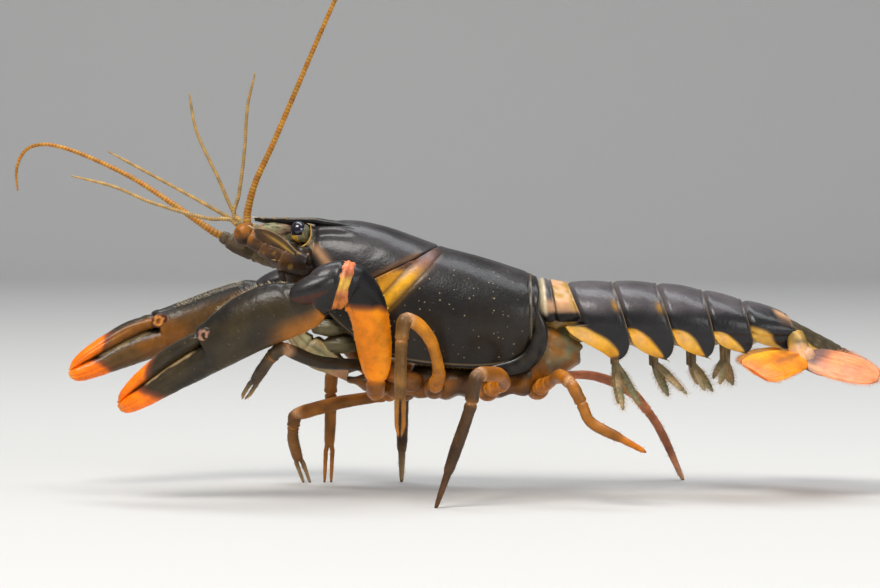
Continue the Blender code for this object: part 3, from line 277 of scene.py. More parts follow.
# Sizes along the legs' upper and lower parts, and how bright each hip's skin is
HIP_SIZE = 1.15
THIGH_SIZE = [(0.35, 0.92), (0.75, 1.04), (0.93, 1.08), (1.0, 0.98)]
SHIN_SIZE = [(0.0, 0.98), (0.10, 1.15), (0.24, 1.02), (0.34, 0.96), (0.75, 0.98), (0.95, 0.84), (1.0, 0.68)]
HIP_GLOW = {2: 0.35, 3: 0.5, 4: 1.0, 5: 0.9}

# Claws
CLAW_HIP = (-10.3, 7.5, 17.1)
CLAW_ARMS = {
    "left": [(-10.2, 9.4, 20.6), (-10.7, 11.8, 26.3), (-11.7, 13.8, 31.4), (-13.9, 15.3, 34.7),
             (-17.4, 16.4, 34.6)],
    "right": [(-12.6, 9.8, 21.0), (-16.6, 12.4, 25.6), (-20.6, 14.5, 29.0), (-24.0, 15.9, 30.4),
              (-27.4, 17.2, 29.9)],
}
CLAW_ELBOW = {"left": 0.68, "right": 0.72}
CLAW_WRIST = {"left": (-20.9, 17.0, 30.5), "right": (-31.0, 18.0, 27.6)}
CLAW_AIM = {"left": (-0.848, -0.115, -0.512), "right": (-0.886, -0.283, -0.374)}
ARM_DEEP = [(0.0, 1.5), (0.07, 1.7), (0.15, 2.4), (0.3, 2.9), (0.45, 3.1), (0.62, 3.3), (0.68, 3.4),
            (0.8, 4.1), (0.92, 3.5), (1.0, 2.8)]
ARM_THICK = [(0.0, 1.6), (0.15, 1.7), (0.45, 2.3), (0.62, 2.6), (0.68, 2.7), (0.8, 3.2), (0.92, 2.8),
             (1.0, 2.1)]
ELBOW_PLACE = (-15.0, 34.45)
ELBOW_FACE = (-0.965, 0.263)
WRIST_LIFT = 1.2
# Lumps over the wrists: place, radii and direction
WRIST_CAPS = {
    "left": ((-19.4, -17.9, 33.9), (5.1, 2.6, 2.3), (-0.92, -0.08, -0.38)),
    "right": ((-27.4, 17.2, 33.2), (5.0, 2.3, 2.2), (-0.92, 0.10, -0.37)),
}

# Sections along the claws, from the wrist on
CLAW_LENGTH = 35.6
HINGE = 16.9
CLAW_REAR = -1.6
HINGE_PAD = (1.4, 0.42, 1.15)
PALM_TOP = {
    "left": [(-1.6, 4.5), (0.0, 5.5), (2.0, 6.7), (5.0, 7.7), (9.0, 8.1), (13.0, 7.7), (16.9, 6.9)],
    "right": [(-1.6, 4.9), (0.0, 5.6), (2.0, 5.9), (5.0, 6.2), (9.0, 6.4), (13.0, 6.6), (16.9, 6.7)],
}
CLAW_LOW = [(-1.6, -2.2), (0.0, -2.6), (2.0, -2.5), (9.0, -1.4), (16.9, -0.7), (26.0, 0.0), (32.0, 0.5),
            (34.6, 1.1), (35.6, 2.2)]
CLAW_THICK = [(-1.6, 2.5), (0.0, 2.9), (5.0, 3.5), (10.0, 3.6), (16.9, 3.0), (22.0, 2.0), (30.0, 1.7),
              (34.0, 1.2), (35.6, 0.35)]
THUMB_TOP = [(17.4, 4.3), (21.0, 4.4), (26.0, 4.15), (31.0, 3.7), (34.5, 3.35), (35.6, 3.0)]
FINGER_LOW = [(17.5, 4.3), (21.0, 4.3), (26.0, 4.0), (31.0, 3.6), (34.9, 3.25)]
FINGER_TOP = [(17.5, 6.6), (22.0, 7.0), (26.0, 6.6), (30.0, 5.9), (33.0, 5.0), (34.3, 4.3), (34.9, 3.6)]
FINGER_THICK = [(17.5, 2.3), (22.0, 1.9), (30.0, 1.6), (33.5, 1.1), (34.9, 0.35)]
TOOTH_PITCH = 1.3
# Length of the fingers to the solids' length
FINGER_SHARE = {"left": 0.955, "right": 0.92}

# Colours, as linear light
DARK = np.array((0.011, 0.009, 0.008))
MAUVE = np.array((0.040, 0.034, 0.036))
BLACK = np.array((0.005, 0.0045, 0.005))
SEPIA = np.array((0.022, 0.015, 0.007))
OLIVE = np.array((0.045, 0.030, 0.010))
BROWN = np.array((0.110, 0.045, 0.012))
RUST = np.array((0.200, 0.050, 0.018))
AMBER = np.array((0.430, 0.145, 0.008))
ORANGE = np.array((1.000, 0.270, 0.000))
FLAME = np.array((1.000, 0.120, 0.000))
GOLD = np.array((0.850, 0.400, 0.015))
HONEY = np.array((0.760, 0.430, 0.070))
PEACH = np.array((0.740, 0.400, 0.200))
SALMON = np.array((0.780, 0.260, 0.120))
PINK = np.array((0.620, 0.300, 0.220))
TAN = np.array((0.420, 0.280, 0.130))
CREAM = np.array((0.680, 0.560, 0.360))
GREENISH = np.array((0.230, 0.220, 0.110))
EYE_BLACK = np.array((0.008, 0.006, 0.016))


# Curves and blends

def slope(keys, index):
    """Slope at one key of a smooth curve."""
    before = keys[max(index - 1, 0)]
    after = keys[min(index + 1, len(keys) - 1)]
    return (after[1] - before[1]) / (after[0] - before[0])


def along(keys, at):
    """Value at a place on the smooth curve through (place, value) keys."""
    if at <= keys[0][0]:
        return keys[0][1]
    if at >= keys[-1][0]:
        return keys[-1][1]
    index = max(i for i in range(len(keys) - 1) if keys[i][0] <= at)
    (start, first), (end, last) = keys[index], keys[index + 1]
    span = end - start
    s = (at - start) / span
    rise = slope(keys, index) * span
    fall = slope(keys, index + 1) * span
    return (first * (1 + 2 * s) * (1 - s) ** 2 + rise * s * (1 - s) ** 2
            + last * s * s * (3 - 2 * s) + fall * s * s * (s - 1))


def track(keys, steps=400):
    """The smooth curve through keys, as a function of whole arrays."""
    places = np.linspace(keys[0][0], keys[-1][0], steps)
    values = np.array([along(keys, place) for place in places])
    return lambda at: np.interp(at, places, values)


def spline(points, count):
    """Evenly spaced places on the smooth curve through some points."""
    points = [Vector(point) for point in points]
    travel = [0.0]
    for before, after in zip(points, points[1:]):
        travel.append(travel[-1] + (after - before).length)
    axes = [[(t, point[axis]) for t, point in zip(travel, points)] for axis in range(3)]
    places = [travel[-1] * step / (count - 1) for step in range(count)]
    return np.array([[along(keys, place) for keys in axes] for place in places])


def step_between(low, high, values):
    """0 below low, 1 above high and smooth between."""
    t = np.clip((values - low) / (high - low), 0.0, 1.0)
    return t * t * (3.0 - 2.0 * t)


def falling(low, high, values):
    """1 below low, 0 above high and smooth between."""
    return 1.0 - step_between(low, high, values)


def hump(values, centre, width):
    """A smooth bump of height 1 at a centre."""
    return np.exp(-((values - centre) / width) ** 2)


def blend(first, second, share):
    """Two colours or colour fields mixed by a field of shares."""
    share = np.asarray(share)[..., None]
    return first * (1.0 - share) + second * share


def unit(vectors):
    """Vectors scaled to length 1."""
    return vectors / np.maximum(np.linalg.norm(vectors, axis=-1, keepdims=True), 1e-9)


def square_to(vector, aim):
    """A vector turned square to a direction, with length 1."""
    return unit(vector - aim * np.dot(vector, aim))


def grain(points, scale, shift=0.0):
    """Smooth noise at points in millimetres; scale is waves for each millimetre."""
    flat = (points.reshape(-1, 3) * scale + shift).tolist()
    return np.array([noise.noise(place) for place in flat]).reshape(points.shape[:-1])


def cloudy(points, scale, gain=1.0, base=0.5, shift=0.0):
    """Noise around a base value, kept between 0 and 1, to mix two colours by."""
    return np.clip(base + gain * grain(points, scale, shift), 0.0, 1.0)


def bumps(height, scale):
    """Relief of a lump: smooth noise of a given height."""
    return lambda shape: height * grain(shape, scale)


def on_side(place, side):
    """A place with its distance from the middle plane put on the given side."""
    return np.array((place[0], place[1] * SIDES[side], place[2]))


def limb_place(place, side):
    """A place on a limb: the left limbs hang a little lower than the right ones."""
    spot = on_side(place, side)
    if place[2] > FLOOR:
        spot[2] += LIMB_ROLL * spot[1]
    return spot


def directions(path, first=None, last=None):
    """Directions along a path, with the end directions set where they are given."""
    aims = np.empty_like(path)
    aims[1:-1] = path[2:] - path[:-2]
    aims[0], aims[-1] = path[1] - path[0], path[-1] - path[-2]
    if first is not None:
        aims[0] = first
    if last is not None:
        aims[-1] = last
    return unit(aims)


def carried(aims, side):
    """Side and up directions carried along a path without twist."""
    across, up = [], []
    current = np.array(side, float)
    for aim in aims:
        current = square_to(current, aim)
        across.append(current)
        up.append(np.cross(aim, current))
    return np.array(across), np.array(up)


def crossing(distance, level, low):
    """Row, with its fraction, where each column of a field of distances first rises through a level."""
    rows = []
    for column in distance.T:
        steps = [i for i in range(low, len(column) - 1) if column[i] < level <= column[i + 1]]
        i = steps[0] if steps else low
        rows.append(i + np.clip((level - column[i]) / (column[i + 1] - column[i]), 0.0, 1.0))
    return np.array(rows)


def between_rows(field, start, end, count):
    """A field resampled between a start row and an end row of each column."""
    at = start + (end - start) * np.linspace(0.0, 1.0, count)[:, None]
    low = np.clip(at.astype(int), 0, len(field) - 2)
    share = at - low
    column = np.arange(field.shape[1])
    if field.ndim == 3:
        share = share[..., None]
    return field[low, column] * (1.0 - share) + field[low + 1, column] * share


def turns(count):
    """Angles spread evenly around a full turn."""
    return np.linspace(0.0, 2.0 * math.pi, count, endpoint=False)


def outline(count, power=2.0):
    """Side and height parts of a ring of points: round at power 2 and squarer above it."""
    cos, sin = np.cos(turns(count)), np.sin(turns(count))
    reach = (abs(cos) ** power + abs(sin) ** power) ** (-1.0 / power)
    return cos * reach, sin * reach


def tube(path, aims, side, wide, deep, count, power=2.0):
    """Rings of points along a path."""
    across, up = carried(aims, side)
    cos, sin = outline(count, power)
    return (path[:, None] + across[:, None] * (cos[None, :, None] * np.asarray(wide)[:, None, None])
            + up[:, None] * (sin[None, :, None] * np.asarray(deep)[:, None, None]))


def rowwise(values, points):
    """One value for each row of a grid of points, the same across the row."""
    return np.broadcast_to(values[:, None], points.shape[:2])


def rounded(points, tints, start, end, steps=4):
    """Rows added at the ends so that they curl inward with the given radii."""

    def curl(rim, inner, radius):
        outward = unit(rim - inner)
        toward = rim.mean(axis=0) - rim
        reach = np.linalg.norm(toward, axis=-1, keepdims=True)
        toward = toward - outward * (toward * outward).sum(axis=-1, keepdims=True)
        toward = unit(toward) * np.minimum(radius, reach * 0.7)
        angles = [0.5 * math.pi * step / steps for step in range(1, steps + 1)]
        return np.array([rim + toward * (1.0 - math.cos(a)) + outward * radius * math.sin(a) for a in angles])

    if start:
        points = np.concatenate([curl(points[0], points[1], start)[::-1], points])
        tints = np.concatenate([np.array([tints[0]] * steps), tints])
    if end:
        points = np.concatenate([points, curl(points[-1], points[-2], end)])
        tints = np.concatenate([tints, np.array([tints[-1]] * steps)])
    return points, tints


def linked(name, data):
    """A new object in the scene."""
    thing = bpy.data.objects.new(name, data)
    bpy.context.scene.collection.objects.link(thing)
    return thing


def tinted_mesh(name, points, tints, faces):
    """A mesh in metres in the frame's place, with a colour at each point."""
    points = (np.concatenate(points) + PLACE) * MM
    mesh = bpy.data.meshes.new(name)
    mesh.from_pydata(points.tolist(), [], faces)
    colours = np.ones((len(points), 4))
    colours[:, :3] = np.concatenate(tints)
    mesh.color_attributes.new("tint", "FLOAT_COLOR", "POINT").data.foreach_set("color", colours.ravel())
    return mesh


def dressed(name, mesh, finish):
    """The object of a mesh with its finish, riding on the frame."""
    mesh.shade_smooth()
    mesh.materials.append(finish)
    thing = linked(name, mesh)
    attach(thing, "root")
    return thing


class Piece:
    """A mesh in the making: points in millimetres, each with a colour, and faces."""

    def __init__(self, name):
        self.name = name
        self.points = []
        self.tints = []
        self.faces = []
        self.total = 0

    def add(self, points, tints, faces):
        """Points with their colours, and faces that count from the first of them."""
        points = np.asarray(points, float).reshape(-1, 3)
        self.points.append(points)
        self.tints.append(np.broadcast_to(np.asarray(tints, float), points.shape))
        self.faces += (np.asarray(faces, int) + self.total).tolist()
        self.total += len(points)

    def grid(self, points, tints, relief=None, ends=(0.0, 0.0)):
        """A surface of closed rings of points, capped at both ends, which may be rounded."""
        tints = np.broadcast_to(np.asarray(tints, float), points.shape)
        if relief is not None:
            points = points + outward(points, True) * np.asarray(relief)[..., None]
        if any(ends):
            points, tints = rounded(points, tints, *ends)
        rows, cols = points.shape[:2]
        near = np.arange(rows * cols).reshape(rows, cols)
        far = np.roll(near, -1, axis=1)
        base = self.total
        self.add(points, tints.reshape(-1, 3),
                 np.stack([near[:-1], far[:-1], far[1:], near[1:]], axis=-1).reshape(-1, 4))
        for row in (0, rows - 1):
            middle = self.total
            self.add(points[row].mean(axis=0), tints[row].mean(axis=0), [])
            self.faces += [[middle, a, b] for a,
                           b in zip((near[row] + base).tolist(), (far[row] + base).tolist())]

    def plate(self, outer, inner, tints, inner_tint):
        """A thin closed plate between two open grids of the same shape."""
        rows, cols = outer.shape[:2]
        index = np.arange(rows * cols).reshape(rows, cols)
        quads = np.stack([index[:-1, :-1], index[:-1, 1:], index[1:, 1:], index[1:, :-1]],
                         axis=-1).reshape(-1, 4)
        border = np.concatenate([index[0, :-1], index[:-1, -1], index[-1, :0:-1], index[:0:-1, 0]])
        after = np.roll(border, -1)
        shift = rows * cols
        sides = np.stack([border, after, after + shift, border + shift], axis=-1)
        both = [grid.reshape(-1, 3) for grid in (outer, inner)]
        colours = [np.broadcast_to(tint, outer.shape).reshape(-1, 3) for tint in (tints, inner_tint)]
        self.add(np.concatenate(both), np.concatenate(colours),
                 np.concatenate([quads, quads[:, ::-1] + shift, sides]))

    def ball(self, centre, radii, tint, axes=None, rows=14, cols=20, relief=None):
        """A rounded lump with its own three radii and axes."""
        axes = np.eye(3) if axes is None else np.asarray(axes, float)
        down = np.linspace(0.02, math.pi - 0.02, rows)[:, None]
        turn = turns(cols)[None, :]
        shape = [np.sin(down) * np.cos(turn), np.sin(down) * np.sin(turn), np.cos(down) * np.ones_like(turn)]
        shape = np.stack(shape, axis=-1)
        points = np.asarray(centre, float) + (shape * np.asarray(radii, float)) @ axes
        self.grid(points, tint(shape) if callable(tint) else tint, relief=relief(shape) if relief else None)

    def spine(self, root, tip, radius, tint, tip_tint, cols=8, rows=7):
        """A tapering spine or tooth."""
        root, tip = np.asarray(root, float), np.asarray(tip, float)
        share = np.linspace(0.0, 1.0, rows)
        path = root + (tip - root) * share[:, None]
        sizes = radius * np.clip(1.0 - share, 0.04, 1.0) ** 0.8
        points = tube(path, directions(path), (0.31, 0.87, 0.38), sizes, sizes, cols)
        self.grid(points, blend(tint, tip_tint, rowwise(share, points)))

    def finish(self, finish, slot, *nodes):
        """The object, standing for the given nodes of the frame."""
        mesh = tinted_mesh(self.name, self.points, self.tints, self.faces)
        work = bmesh.new()
        work.from_mesh(mesh)
        bmesh.ops.recalc_face_normals(work, faces=work.faces)
        work.to_mesh(mesh)
        work.free()
        thing = dressed(self.name, mesh, finish)
        if nodes:
            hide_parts(*nodes)


class Fringe:
    """Hairs in the making: thin bent three-sided spikes, each with its own small patch of the bake map."""

    def __init__(self, name):
        self.name = name
        self.points = []
        self.tints = []
        self.patches = []

    def hairs(self, roots, tips, bends, radius, tint, tip_tint):
        """A row of hairs along an edge: the root, the tip and the sideways bend of each."""
        roots, tips = np.asarray(roots, float), np.asarray(tips, float)
        bends = np.broadcast_to(np.asarray(bends, float), roots.shape)
        share = np.array((0.0, 0.4, 0.75, 1.0))
        spread = share[None, :, None]
        spine = (roots[:, None] * (1.0 - spread) + tips[:, None] * spread
                 + bends[:, None] * (4.0 * spread * (1.0 - spread)))
        aim = unit(tips - roots)
        side = unit(np.cross(aim, (0.21, 0.35, 0.91)))
        up = np.cross(aim, side)
        turn = np.arange(3) * 2.0 * math.pi / 3.0
        ring = side[:, None] * np.cos(turn)[None, :, None] + up[:, None] * np.sin(turn)[None, :, None]
        sizes = radius * np.array((1.0, 0.78, 0.5, 0.08))
        points = spine[:, :, None] + ring[:, None] * sizes[None, :, None, None]
        shade = blend(np.asarray(tint), np.asarray(tip_tint), share)
        row = 0.012 * (len(self.patches) + 1)
        centre = np.linspace(0.02, 0.98, len(roots))
        patch = np.zeros((len(roots), 4, 3, 2))
        patch[..., 0] = centre[:, None, None] + 0.0015 * np.cos(turn) * (1.0 - 0.2 * np.arange(4))[:, None]
        patch[..., 1] = row + 0.0015 * np.sin(turn) * (1.0 - 0.2 * np.arange(4))[:, None]
        self.points.append(points.reshape(-1, 3))
        self.tints.append(np.broadcast_to(shade[None, :, None], points.shape).reshape(-1, 3))
        self.patches.append(patch.reshape(-1, 2))

    def strip(self, roots, aims, length, gap, radius, tint, tip_tint, seed, splay=0.25):
        """Hairs of uneven length along a line of roots, with the direction of growth at each."""
        rng = np.random.default_rng(seed)
        roots, aims = np.asarray(roots, float), np.broadcast_to(np.asarray(aims, float), np.shape(roots))
        travel = np.concatenate([[0.0], np.cumsum(np.linalg.norm(np.diff(roots, axis=0), axis=1))])
        count = max(3, int(travel[-1] / gap))
        at = np.sort(np.clip(np.linspace(0.0, travel[-1], count) + gap * 0.6 * rng.standard_normal(count), 0,
                             travel[-1]))
        spots = np.stack([np.interp(at, travel, roots[:, axis]) for axis in range(3)], axis=-1)
        grow = np.stack([np.interp(at, travel, aims[:, axis]) for axis in range(3)], axis=-1)
        grow = unit(unit(grow) + splay * rng.standard_normal((count, 3)))
        reach = length * (0.6 + 0.5 * rng.random(count))[:, None]
        bends = HAIR_CURL * reach * rng.standard_normal((count, 3)) * 0.5
        self.hairs(spots - grow * 0.08, spots + grow * reach, bends, radius, tint, tip_tint)

    def finish(self, slot):
        """The object, with its bake map."""
        base = np.arange(0, sum(map(len, self.points)), 12)[:, None, None]
        step = np.arange(3)
        after = np.roll(step, -1)
        quads = np.concatenate([np.stack([step, after, after + 3, step + 3], -1) + 3 * row
                                for row in range(3)])
        quads = (base + quads).reshape(-1, 4)
        ends = (base + np.array([[2, 1, 0], [9, 10, 11]])).reshape(-1, 3)
        mesh = tinted_mesh(self.name, self.points, self.tints, quads.tolist() + ends.tolist())
        patches = np.concatenate(self.patches)[np.concatenate([quads.ravel(), ends.ravel()])]
        mesh.uv_layers.new(name="OFBake").data.foreach_set("uv", patches.ravel())
        dressed(self.name, mesh, HAIR)


def outward(points, closed):
    """Directions straight out of a grid of points."""
    if closed:
        around = np.roll(points, -1, axis=1) - np.roll(points, 1, axis=1)
    else:
        around = np.gradient(points, axis=1)
    normal = unit(np.cross(np.gradient(points, axis=0), around))
    middle = points.mean(axis=1, keepdims=True)
    facing = (normal * (points - middle)).sum()
    return normal if facing > 0 else -normal


# Materials

def material(name, rough, coat, mottle, bump, fleck=0.0, soft=0.0, fine=1.0):
    """A shell or skin finish over the piece's own colours."""
    made = bpy.data.materials.new(name)
    made.use_nodes = True
    tree = made.node_tree
    shader = tree.nodes["Principled BSDF"]

    def node(kind, sources, **values):
        item = tree.nodes.new(kind)
        for key, value in values.items():
            if key in item.inputs:
                item.inputs[key].default_value = value
            else:
                setattr(item, key, value)
        for key, source in sources.items():
            tree.links.new(source, item.inputs[key])
        return item

    def ranged(source, low, high, start, end):
        limits = {"From Min": low, "From Max": high, "To Min": start, "To Max": end}
        return node("ShaderNodeMapRange", {"Value": source}, **limits).outputs["Result"]

    tint = node("ShaderNodeAttribute", {}, attribute_name="tint").outputs["Color"]
    place = node("ShaderNodeTexCoord", {}).outputs["Object"]
    spot = node("ShaderNodeMapping", {"Vector": place}, Scale=(1.0 / MM,) * 3).outputs["Vector"]
    cloud = node("ShaderNodeTexNoise", {"Vector": spot}, Scale=0.55 * fine, Detail=6.0,
                 Roughness=0.62).outputs["Fac"]
    lift = ranged(cloud, *NOISE_RANGE, 1.0 - mottle, 1.0 + mottle)
    colour = node("ShaderNodeVectorMath", {0: tint, "Scale": lift}, operation="SCALE").outputs["Vector"]
    dust = node("ShaderNodeTexNoise", {"Vector": spot}, Scale=5.0 * fine, Detail=4.0,
                Roughness=0.6).outputs["Fac"]
    pits = node("ShaderNodeTexVoronoi", {"Vector": spot}, Scale=2.6 * fine).outputs["Distance"]

    if fleck:
        cells = node("ShaderNodeTexVoronoi", {"Vector": spot}, Scale=FLECKS_PER_MM)
        pick = node("ShaderNodeSeparateColor", {"Color": cells.outputs["Color"]}).outputs["Red"]
        radius = ranged(pick, 0.25, 1.0, 0.0, FLECK_SIZE)
        inside = node("ShaderNodeMath", {0: radius, 1: cells.outputs["Distance"]},
                      operation="SUBTRACT").outputs["Value"]
        # A colour mix takes its share in socket 0 and its colours in 6 and 7, and gives the result in 2
        specks = node("ShaderNodeMix", {}, data_type="RGBA")
        specks.inputs[7].default_value = FLECK_TINT
        tree.links.new(ranged(inside, -0.015, 0.035, 0.0, fleck), specks.inputs[0])
        tree.links.new(colour, specks.inputs[6])
        colour = specks.outputs[2]

    first = node("ShaderNodeBump", {"Height": dust}, Strength=0.55 * bump, Distance=0.00006).outputs["Normal"]
    second = node("ShaderNodeBump", {"Height": pits, "Normal": first}, Strength=0.5 * bump, Distance=0.00009)
    tree.links.new(colour, shader.inputs["Base Color"])
    tree.links.new(ranged(dust, *NOISE_RANGE, rough * 0.72, min(1.0, rough * 1.35)),
                   shader.inputs["Roughness"])
    tree.links.new(second.outputs["Normal"], shader.inputs["Normal"])
    values = {"Specular IOR Level": 0.27, "Coat Weight": coat, "Coat Roughness": 0.16,
              "Subsurface Weight": soft, "Subsurface Radius": (1.0, 0.45, 0.2), "Subsurface Scale": 0.0012}
    for key, value in values.items():
        shader.inputs[key].default_value = value
    return made


# Carapace

TOP = track(CARAPACE_TOP)
BOTTOM = track(CARAPACE_BOTTOM)
HALF = track(CARAPACE_HALF)


def shell_columns(arch, flank):
    """Turn over the back, drop down the flank, inset, lift and side of each column of a closed shell ring."""
    right = [(turn, 0.0, 0.0, 0.0) for turn in np.linspace(0.0, 0.5 * math.pi, arch + 1)]
    right += [(0.5 * math.pi, drop, 0.0, 0.0) for drop in np.linspace(0.0, 1.0, flank + 1)[1:]]
    right += [(0.5 * math.pi, 1.0, inset, lift) for inset, lift in SHELL_HEM]
    columns = [(*column, 1.0) for column in right] + [(0.5 * math.pi, 1.0, 1.0, 0.9, 1.0)]
    columns += [(*column, -1.0) for column in reversed(right[1:])]
    return np.array(columns).T


def shell_points(x, columns):
    """Points of the carapace at places along X, for each column."""
    turn, drop, inset, lift, sign = columns
    top, bottom, half = TOP(x), BOTTOM(x), HALF(x)
    wide = bottom + (top - bottom) * CARAPACE_WAIST
    down = drop > 0.0
    y = np.where(down, half * (1.0 - (1.0 - CARAPACE_TUCK) * drop ** 2), half * np.sin(turn) ** 0.92)
    z = np.where(down, wide - (wide - bottom) * drop,
                 wide + (top - wide) * np.clip(np.cos(turn), 0.0, 1.0) ** 0.92)
    return np.stack([x, sign * y * (1.0 - inset), z + lift], axis=-1)


def groove_x(columns, offset):
    """Place along X where each column meets the groove's leaning plane, moved by an offset."""
    lean = math.hypot(GROOVE_LEAN, 1.0)
    low = np.full(columns.shape[1], CARAPACE_FRONT)
    high = np.full(columns.shape[1], CARAPACE_REAR)
    for _ in range(40):
        middle = 0.5 * (low + high)
        height = shell_points(middle, columns)[:, 2]
        ahead = (-GROOVE_LEAN * (middle - GROOVE_X) + height - GROOVE_Z) / lean - offset > 0.0
        low = np.where(ahead, middle, low)
        high = np.where(ahead, high, middle)
    return 0.5 * (low + high)


def flank_fade(columns):
    """1 on the outside of the shell and 0 on its hidden underside."""
    return (columns[2] == 0.0).astype(float)


def head():
    """Head shell with its rostrum, ridges, spines and the muzzle under it."""
    piece = Piece("head_shell")
    columns = shell_columns(34, 26)
    outer = flank_fade(columns)
    rear = groove_x(columns, 0.3)
    start = np.full_like(rear, CARAPACE_FRONT)
    height = shell_points(start, columns)[:, 2]
    start = start + outer * (0.25 * hump(height, 42.4, 1.0) - 0.7 * hump(height, 38.4, 1.1)
                             + 0.3 * hump(height, 35.4, 1.6))
    share = np.linspace(0.0, 1.0, 80)[:, None]
    share = share - 0.06 * np.sin(2.0 * math.pi * share)
    x = start + (rear - start) * share
    points = shell_points(x, columns)
    z, y = points[..., 2], abs(points[..., 1])
    tints = head_tint(points)
    relief = 0.05 * grain(points, 0.45) + 0.02 * grain(points, 1.6)
    ridge_share = np.clip((x - RIDGE_FRONT[0]) / (RIDGE_REAR[0] - RIDGE_FRONT[0]), 0.0, 1.0)
    ridge_y = RIDGE_FRONT[1] + (RIDGE_REAR[1] - RIDGE_FRONT[1]) * ridge_share
    fade = falling(0.55, 1.0, ridge_share) * (x < RIDGE_REAR[0]) * (z > 38.0)
    relief = relief + 0.55 * hump(y, ridge_y, 0.42) * fade - 0.18 * hump(y, ridge_y + 0.95, 0.35) * fade
    relief = relief - 0.25 * hump(x, start + 0.9, 0.4) * (z < 43.0) + 0.1 * hump(x, start + 0.25, 0.25)
    relief = relief * outer
    piece.grid(points, tints, relief=relief, ends=(0.45, 0.42))
    for sign in SIDES.values():
        piece.spine((RIDGE_FRONT[0] + 1.0, sign * RIDGE_FRONT[1], 43.2),
                    (RIDGE_FRONT[0] - 0.35, sign * (RIDGE_FRONT[1] - 0.1), 43.75), 0.36, MAUVE, TAN, cols=10)
        piece.spine((-21.2, sign * 5.6, 38.5), (-23.1, sign * 5.9, 38.6), 0.55, BROWN, TAN, cols=10)
    rostrum(piece)
    muzzle(piece)
    piece.finish(SHELL, "dark_shell", "head")


def head_tint(points):
    """Colours of the head shell."""
    x, y, z = points[..., 0], abs(points[..., 1]), points[..., 2]
    cloud = grain(points, 0.22)
    # Mottled grey-mauve rising towards the top is painted sheen of the top light on the near-black shell
    tints = blend(DARK, MAUVE, np.clip(0.55 + 0.8 * cloud, 0.0, 1.0) * step_between(36.0, 41.0, z))
    streak = hump(x - 0.75 * (40.2 - z), -20.4, 0.85) * step_between(34.8, 36.6, z) * falling(39.6, 41.4, z)
    tints = blend(tints, PEACH, 0.55 * streak)
    edge = (-GROOVE_LEAN * (x - GROOVE_X) + z - GROOVE_Z) / math.hypot(GROOVE_LEAN, 1.0)
    tints = blend(tints, BROWN, 0.75 * hump(edge, 0.35, 0.5) * (x < -3.0))
    tints = blend(tints, BLACK, 0.6 * falling(33.0, 37.0, z))
    return blend(tints, GREENISH,
                 0.5 * hump(x, -21.2, 0.5) * step_between(38.5, 40.0, z) * falling(42.6, 43.2, z) * (y > 3.0))


def rostrum(piece):
    """The beak: a shallow trough between two raised, toothed edges."""
    half_at = track(ROSTRUM_HALF)
    places = np.linspace(ROSTRUM_REAR_X, ROSTRUM_TIP_X + 0.15, 64)
    profile = spline(ROSTRUM_PROFILE, 22)
    rings = []
    for x in places:
        half = half_at(x)
        depth = 0.30 + 0.70 * min(1.0, (x - ROSTRUM_TIP_X) / 5.0)
        sink = 1.5 * float(step_between(-21.0, ROSTRUM_REAR_X, x))
        top = ROSTRUM_Z + (float(TOP(x)) + 0.75 - ROSTRUM_Z) * float(step_between(-20.0, -16.5, x))
        right = [(x, half * y, top - sink + z * depth) for y, z, _ in profile]
        rings.append(right + [(a, -b, c) for a, b, c in reversed(right[1:-1])])
    points = np.array(rings)
    tints = blend(DARK, BLACK, 0.5 + 0.5 * np.clip(grain(points, 0.5) * 2.0, -1.0, 1.0))
    tints = blend(tints, TAN,
                  0.3 * hump(points[..., 2], ROSTRUM_Z, 0.1) * step_between(0.6, 1.2, abs(points[..., 1])))
    piece.grid(points, tints, relief=0.03 * grain(points, 1.1))
    piece.spine((ROSTRUM_TIP_X + 1.0, 0.0, ROSTRUM_Z - 0.25), (ROSTRUM_TIP_X - 0.35, 0.0, ROSTRUM_Z + 0.15),
                0.42, DARK, CREAM)
    for sign in SIDES.values():
        for x in ROSTRUM_TEETH:
            half = float(half_at(x))
            piece.spine((x + 0.7, sign * (half - 0.25), ROSTRUM_Z - 0.3),
                        (x - 0.55, sign * (half + 0.22), ROSTRUM_Z + 0.04), 0.3, DARK, TAN, cols=8)


def muzzle(piece):
    """The lumpy block under the rostrum that the feelers grow from."""
    x = np.linspace(-19.5, -25.9, 26)
    path = np.stack([x, np.zeros_like(x), np.full_like(x, 37.3)], axis=-1)
    points = tube(path, directions(path), (0, 1, 0), track(MUZZLE_WIDE)(x), track(MUZZLE_HIGH)(x), 40, 2.6)
    tints = blend(BROWN * 0.5, SEPIA, cloudy(points, 0.6))
    piece.grid(points, tints, relief=0.25 * grain(points, 0.8), ends=(0.0, 0.5))


def thorax():
    """Thorax shell with its yellow band, the speckles and the raised rear margin."""
    piece = Piece("thorax_shell")
    columns = shell_columns(44, 40)
    outer = flank_fade(columns)
    start = groove_x(columns, -0.3)
    share = np.linspace(0.0, 1.0, 130)[:, None]
    share = share - 0.05 * np.sin(2.0 * math.pi * share)
    x = start + (CARAPACE_REAR - 0.4 - start) * share
    points = shell_points(x, columns)
    y, z = abs(points[..., 1]), points[..., 2]
    drop = columns[1]
    band, over = band_place(points)
    relief = 0.05 * grain(points, 0.35) + 0.018 * grain(points, 1.5)
    relief = relief + 0.16 * hump(band, 0.0, 0.75) * over - 0.14 * hump(abs(band), 1.25, 0.28) * over
    relief = relief - 0.10 * hump(y, 1.5, 0.22) * step_between(1.5, 5.0, x) * (z > 33.0)
    to_rear = CARAPACE_REAR - x
    relief = relief - 0.07 * hump(to_rear, 1.65, 0.2) + 0.05 * hump(to_rear, 1.25, 0.2)
    relief = relief - 0.07 * hump(drop, 0.93, 0.015) + 0.05 * hump(drop, 0.955, 0.015)
    piece.grid(points, thorax_tint(points, band, over, drop, to_rear), relief=relief * outer,
               ends=(0.42, 0.45))
    piece.finish(SHELL_FLECKED, "dark_shell", "thorax")


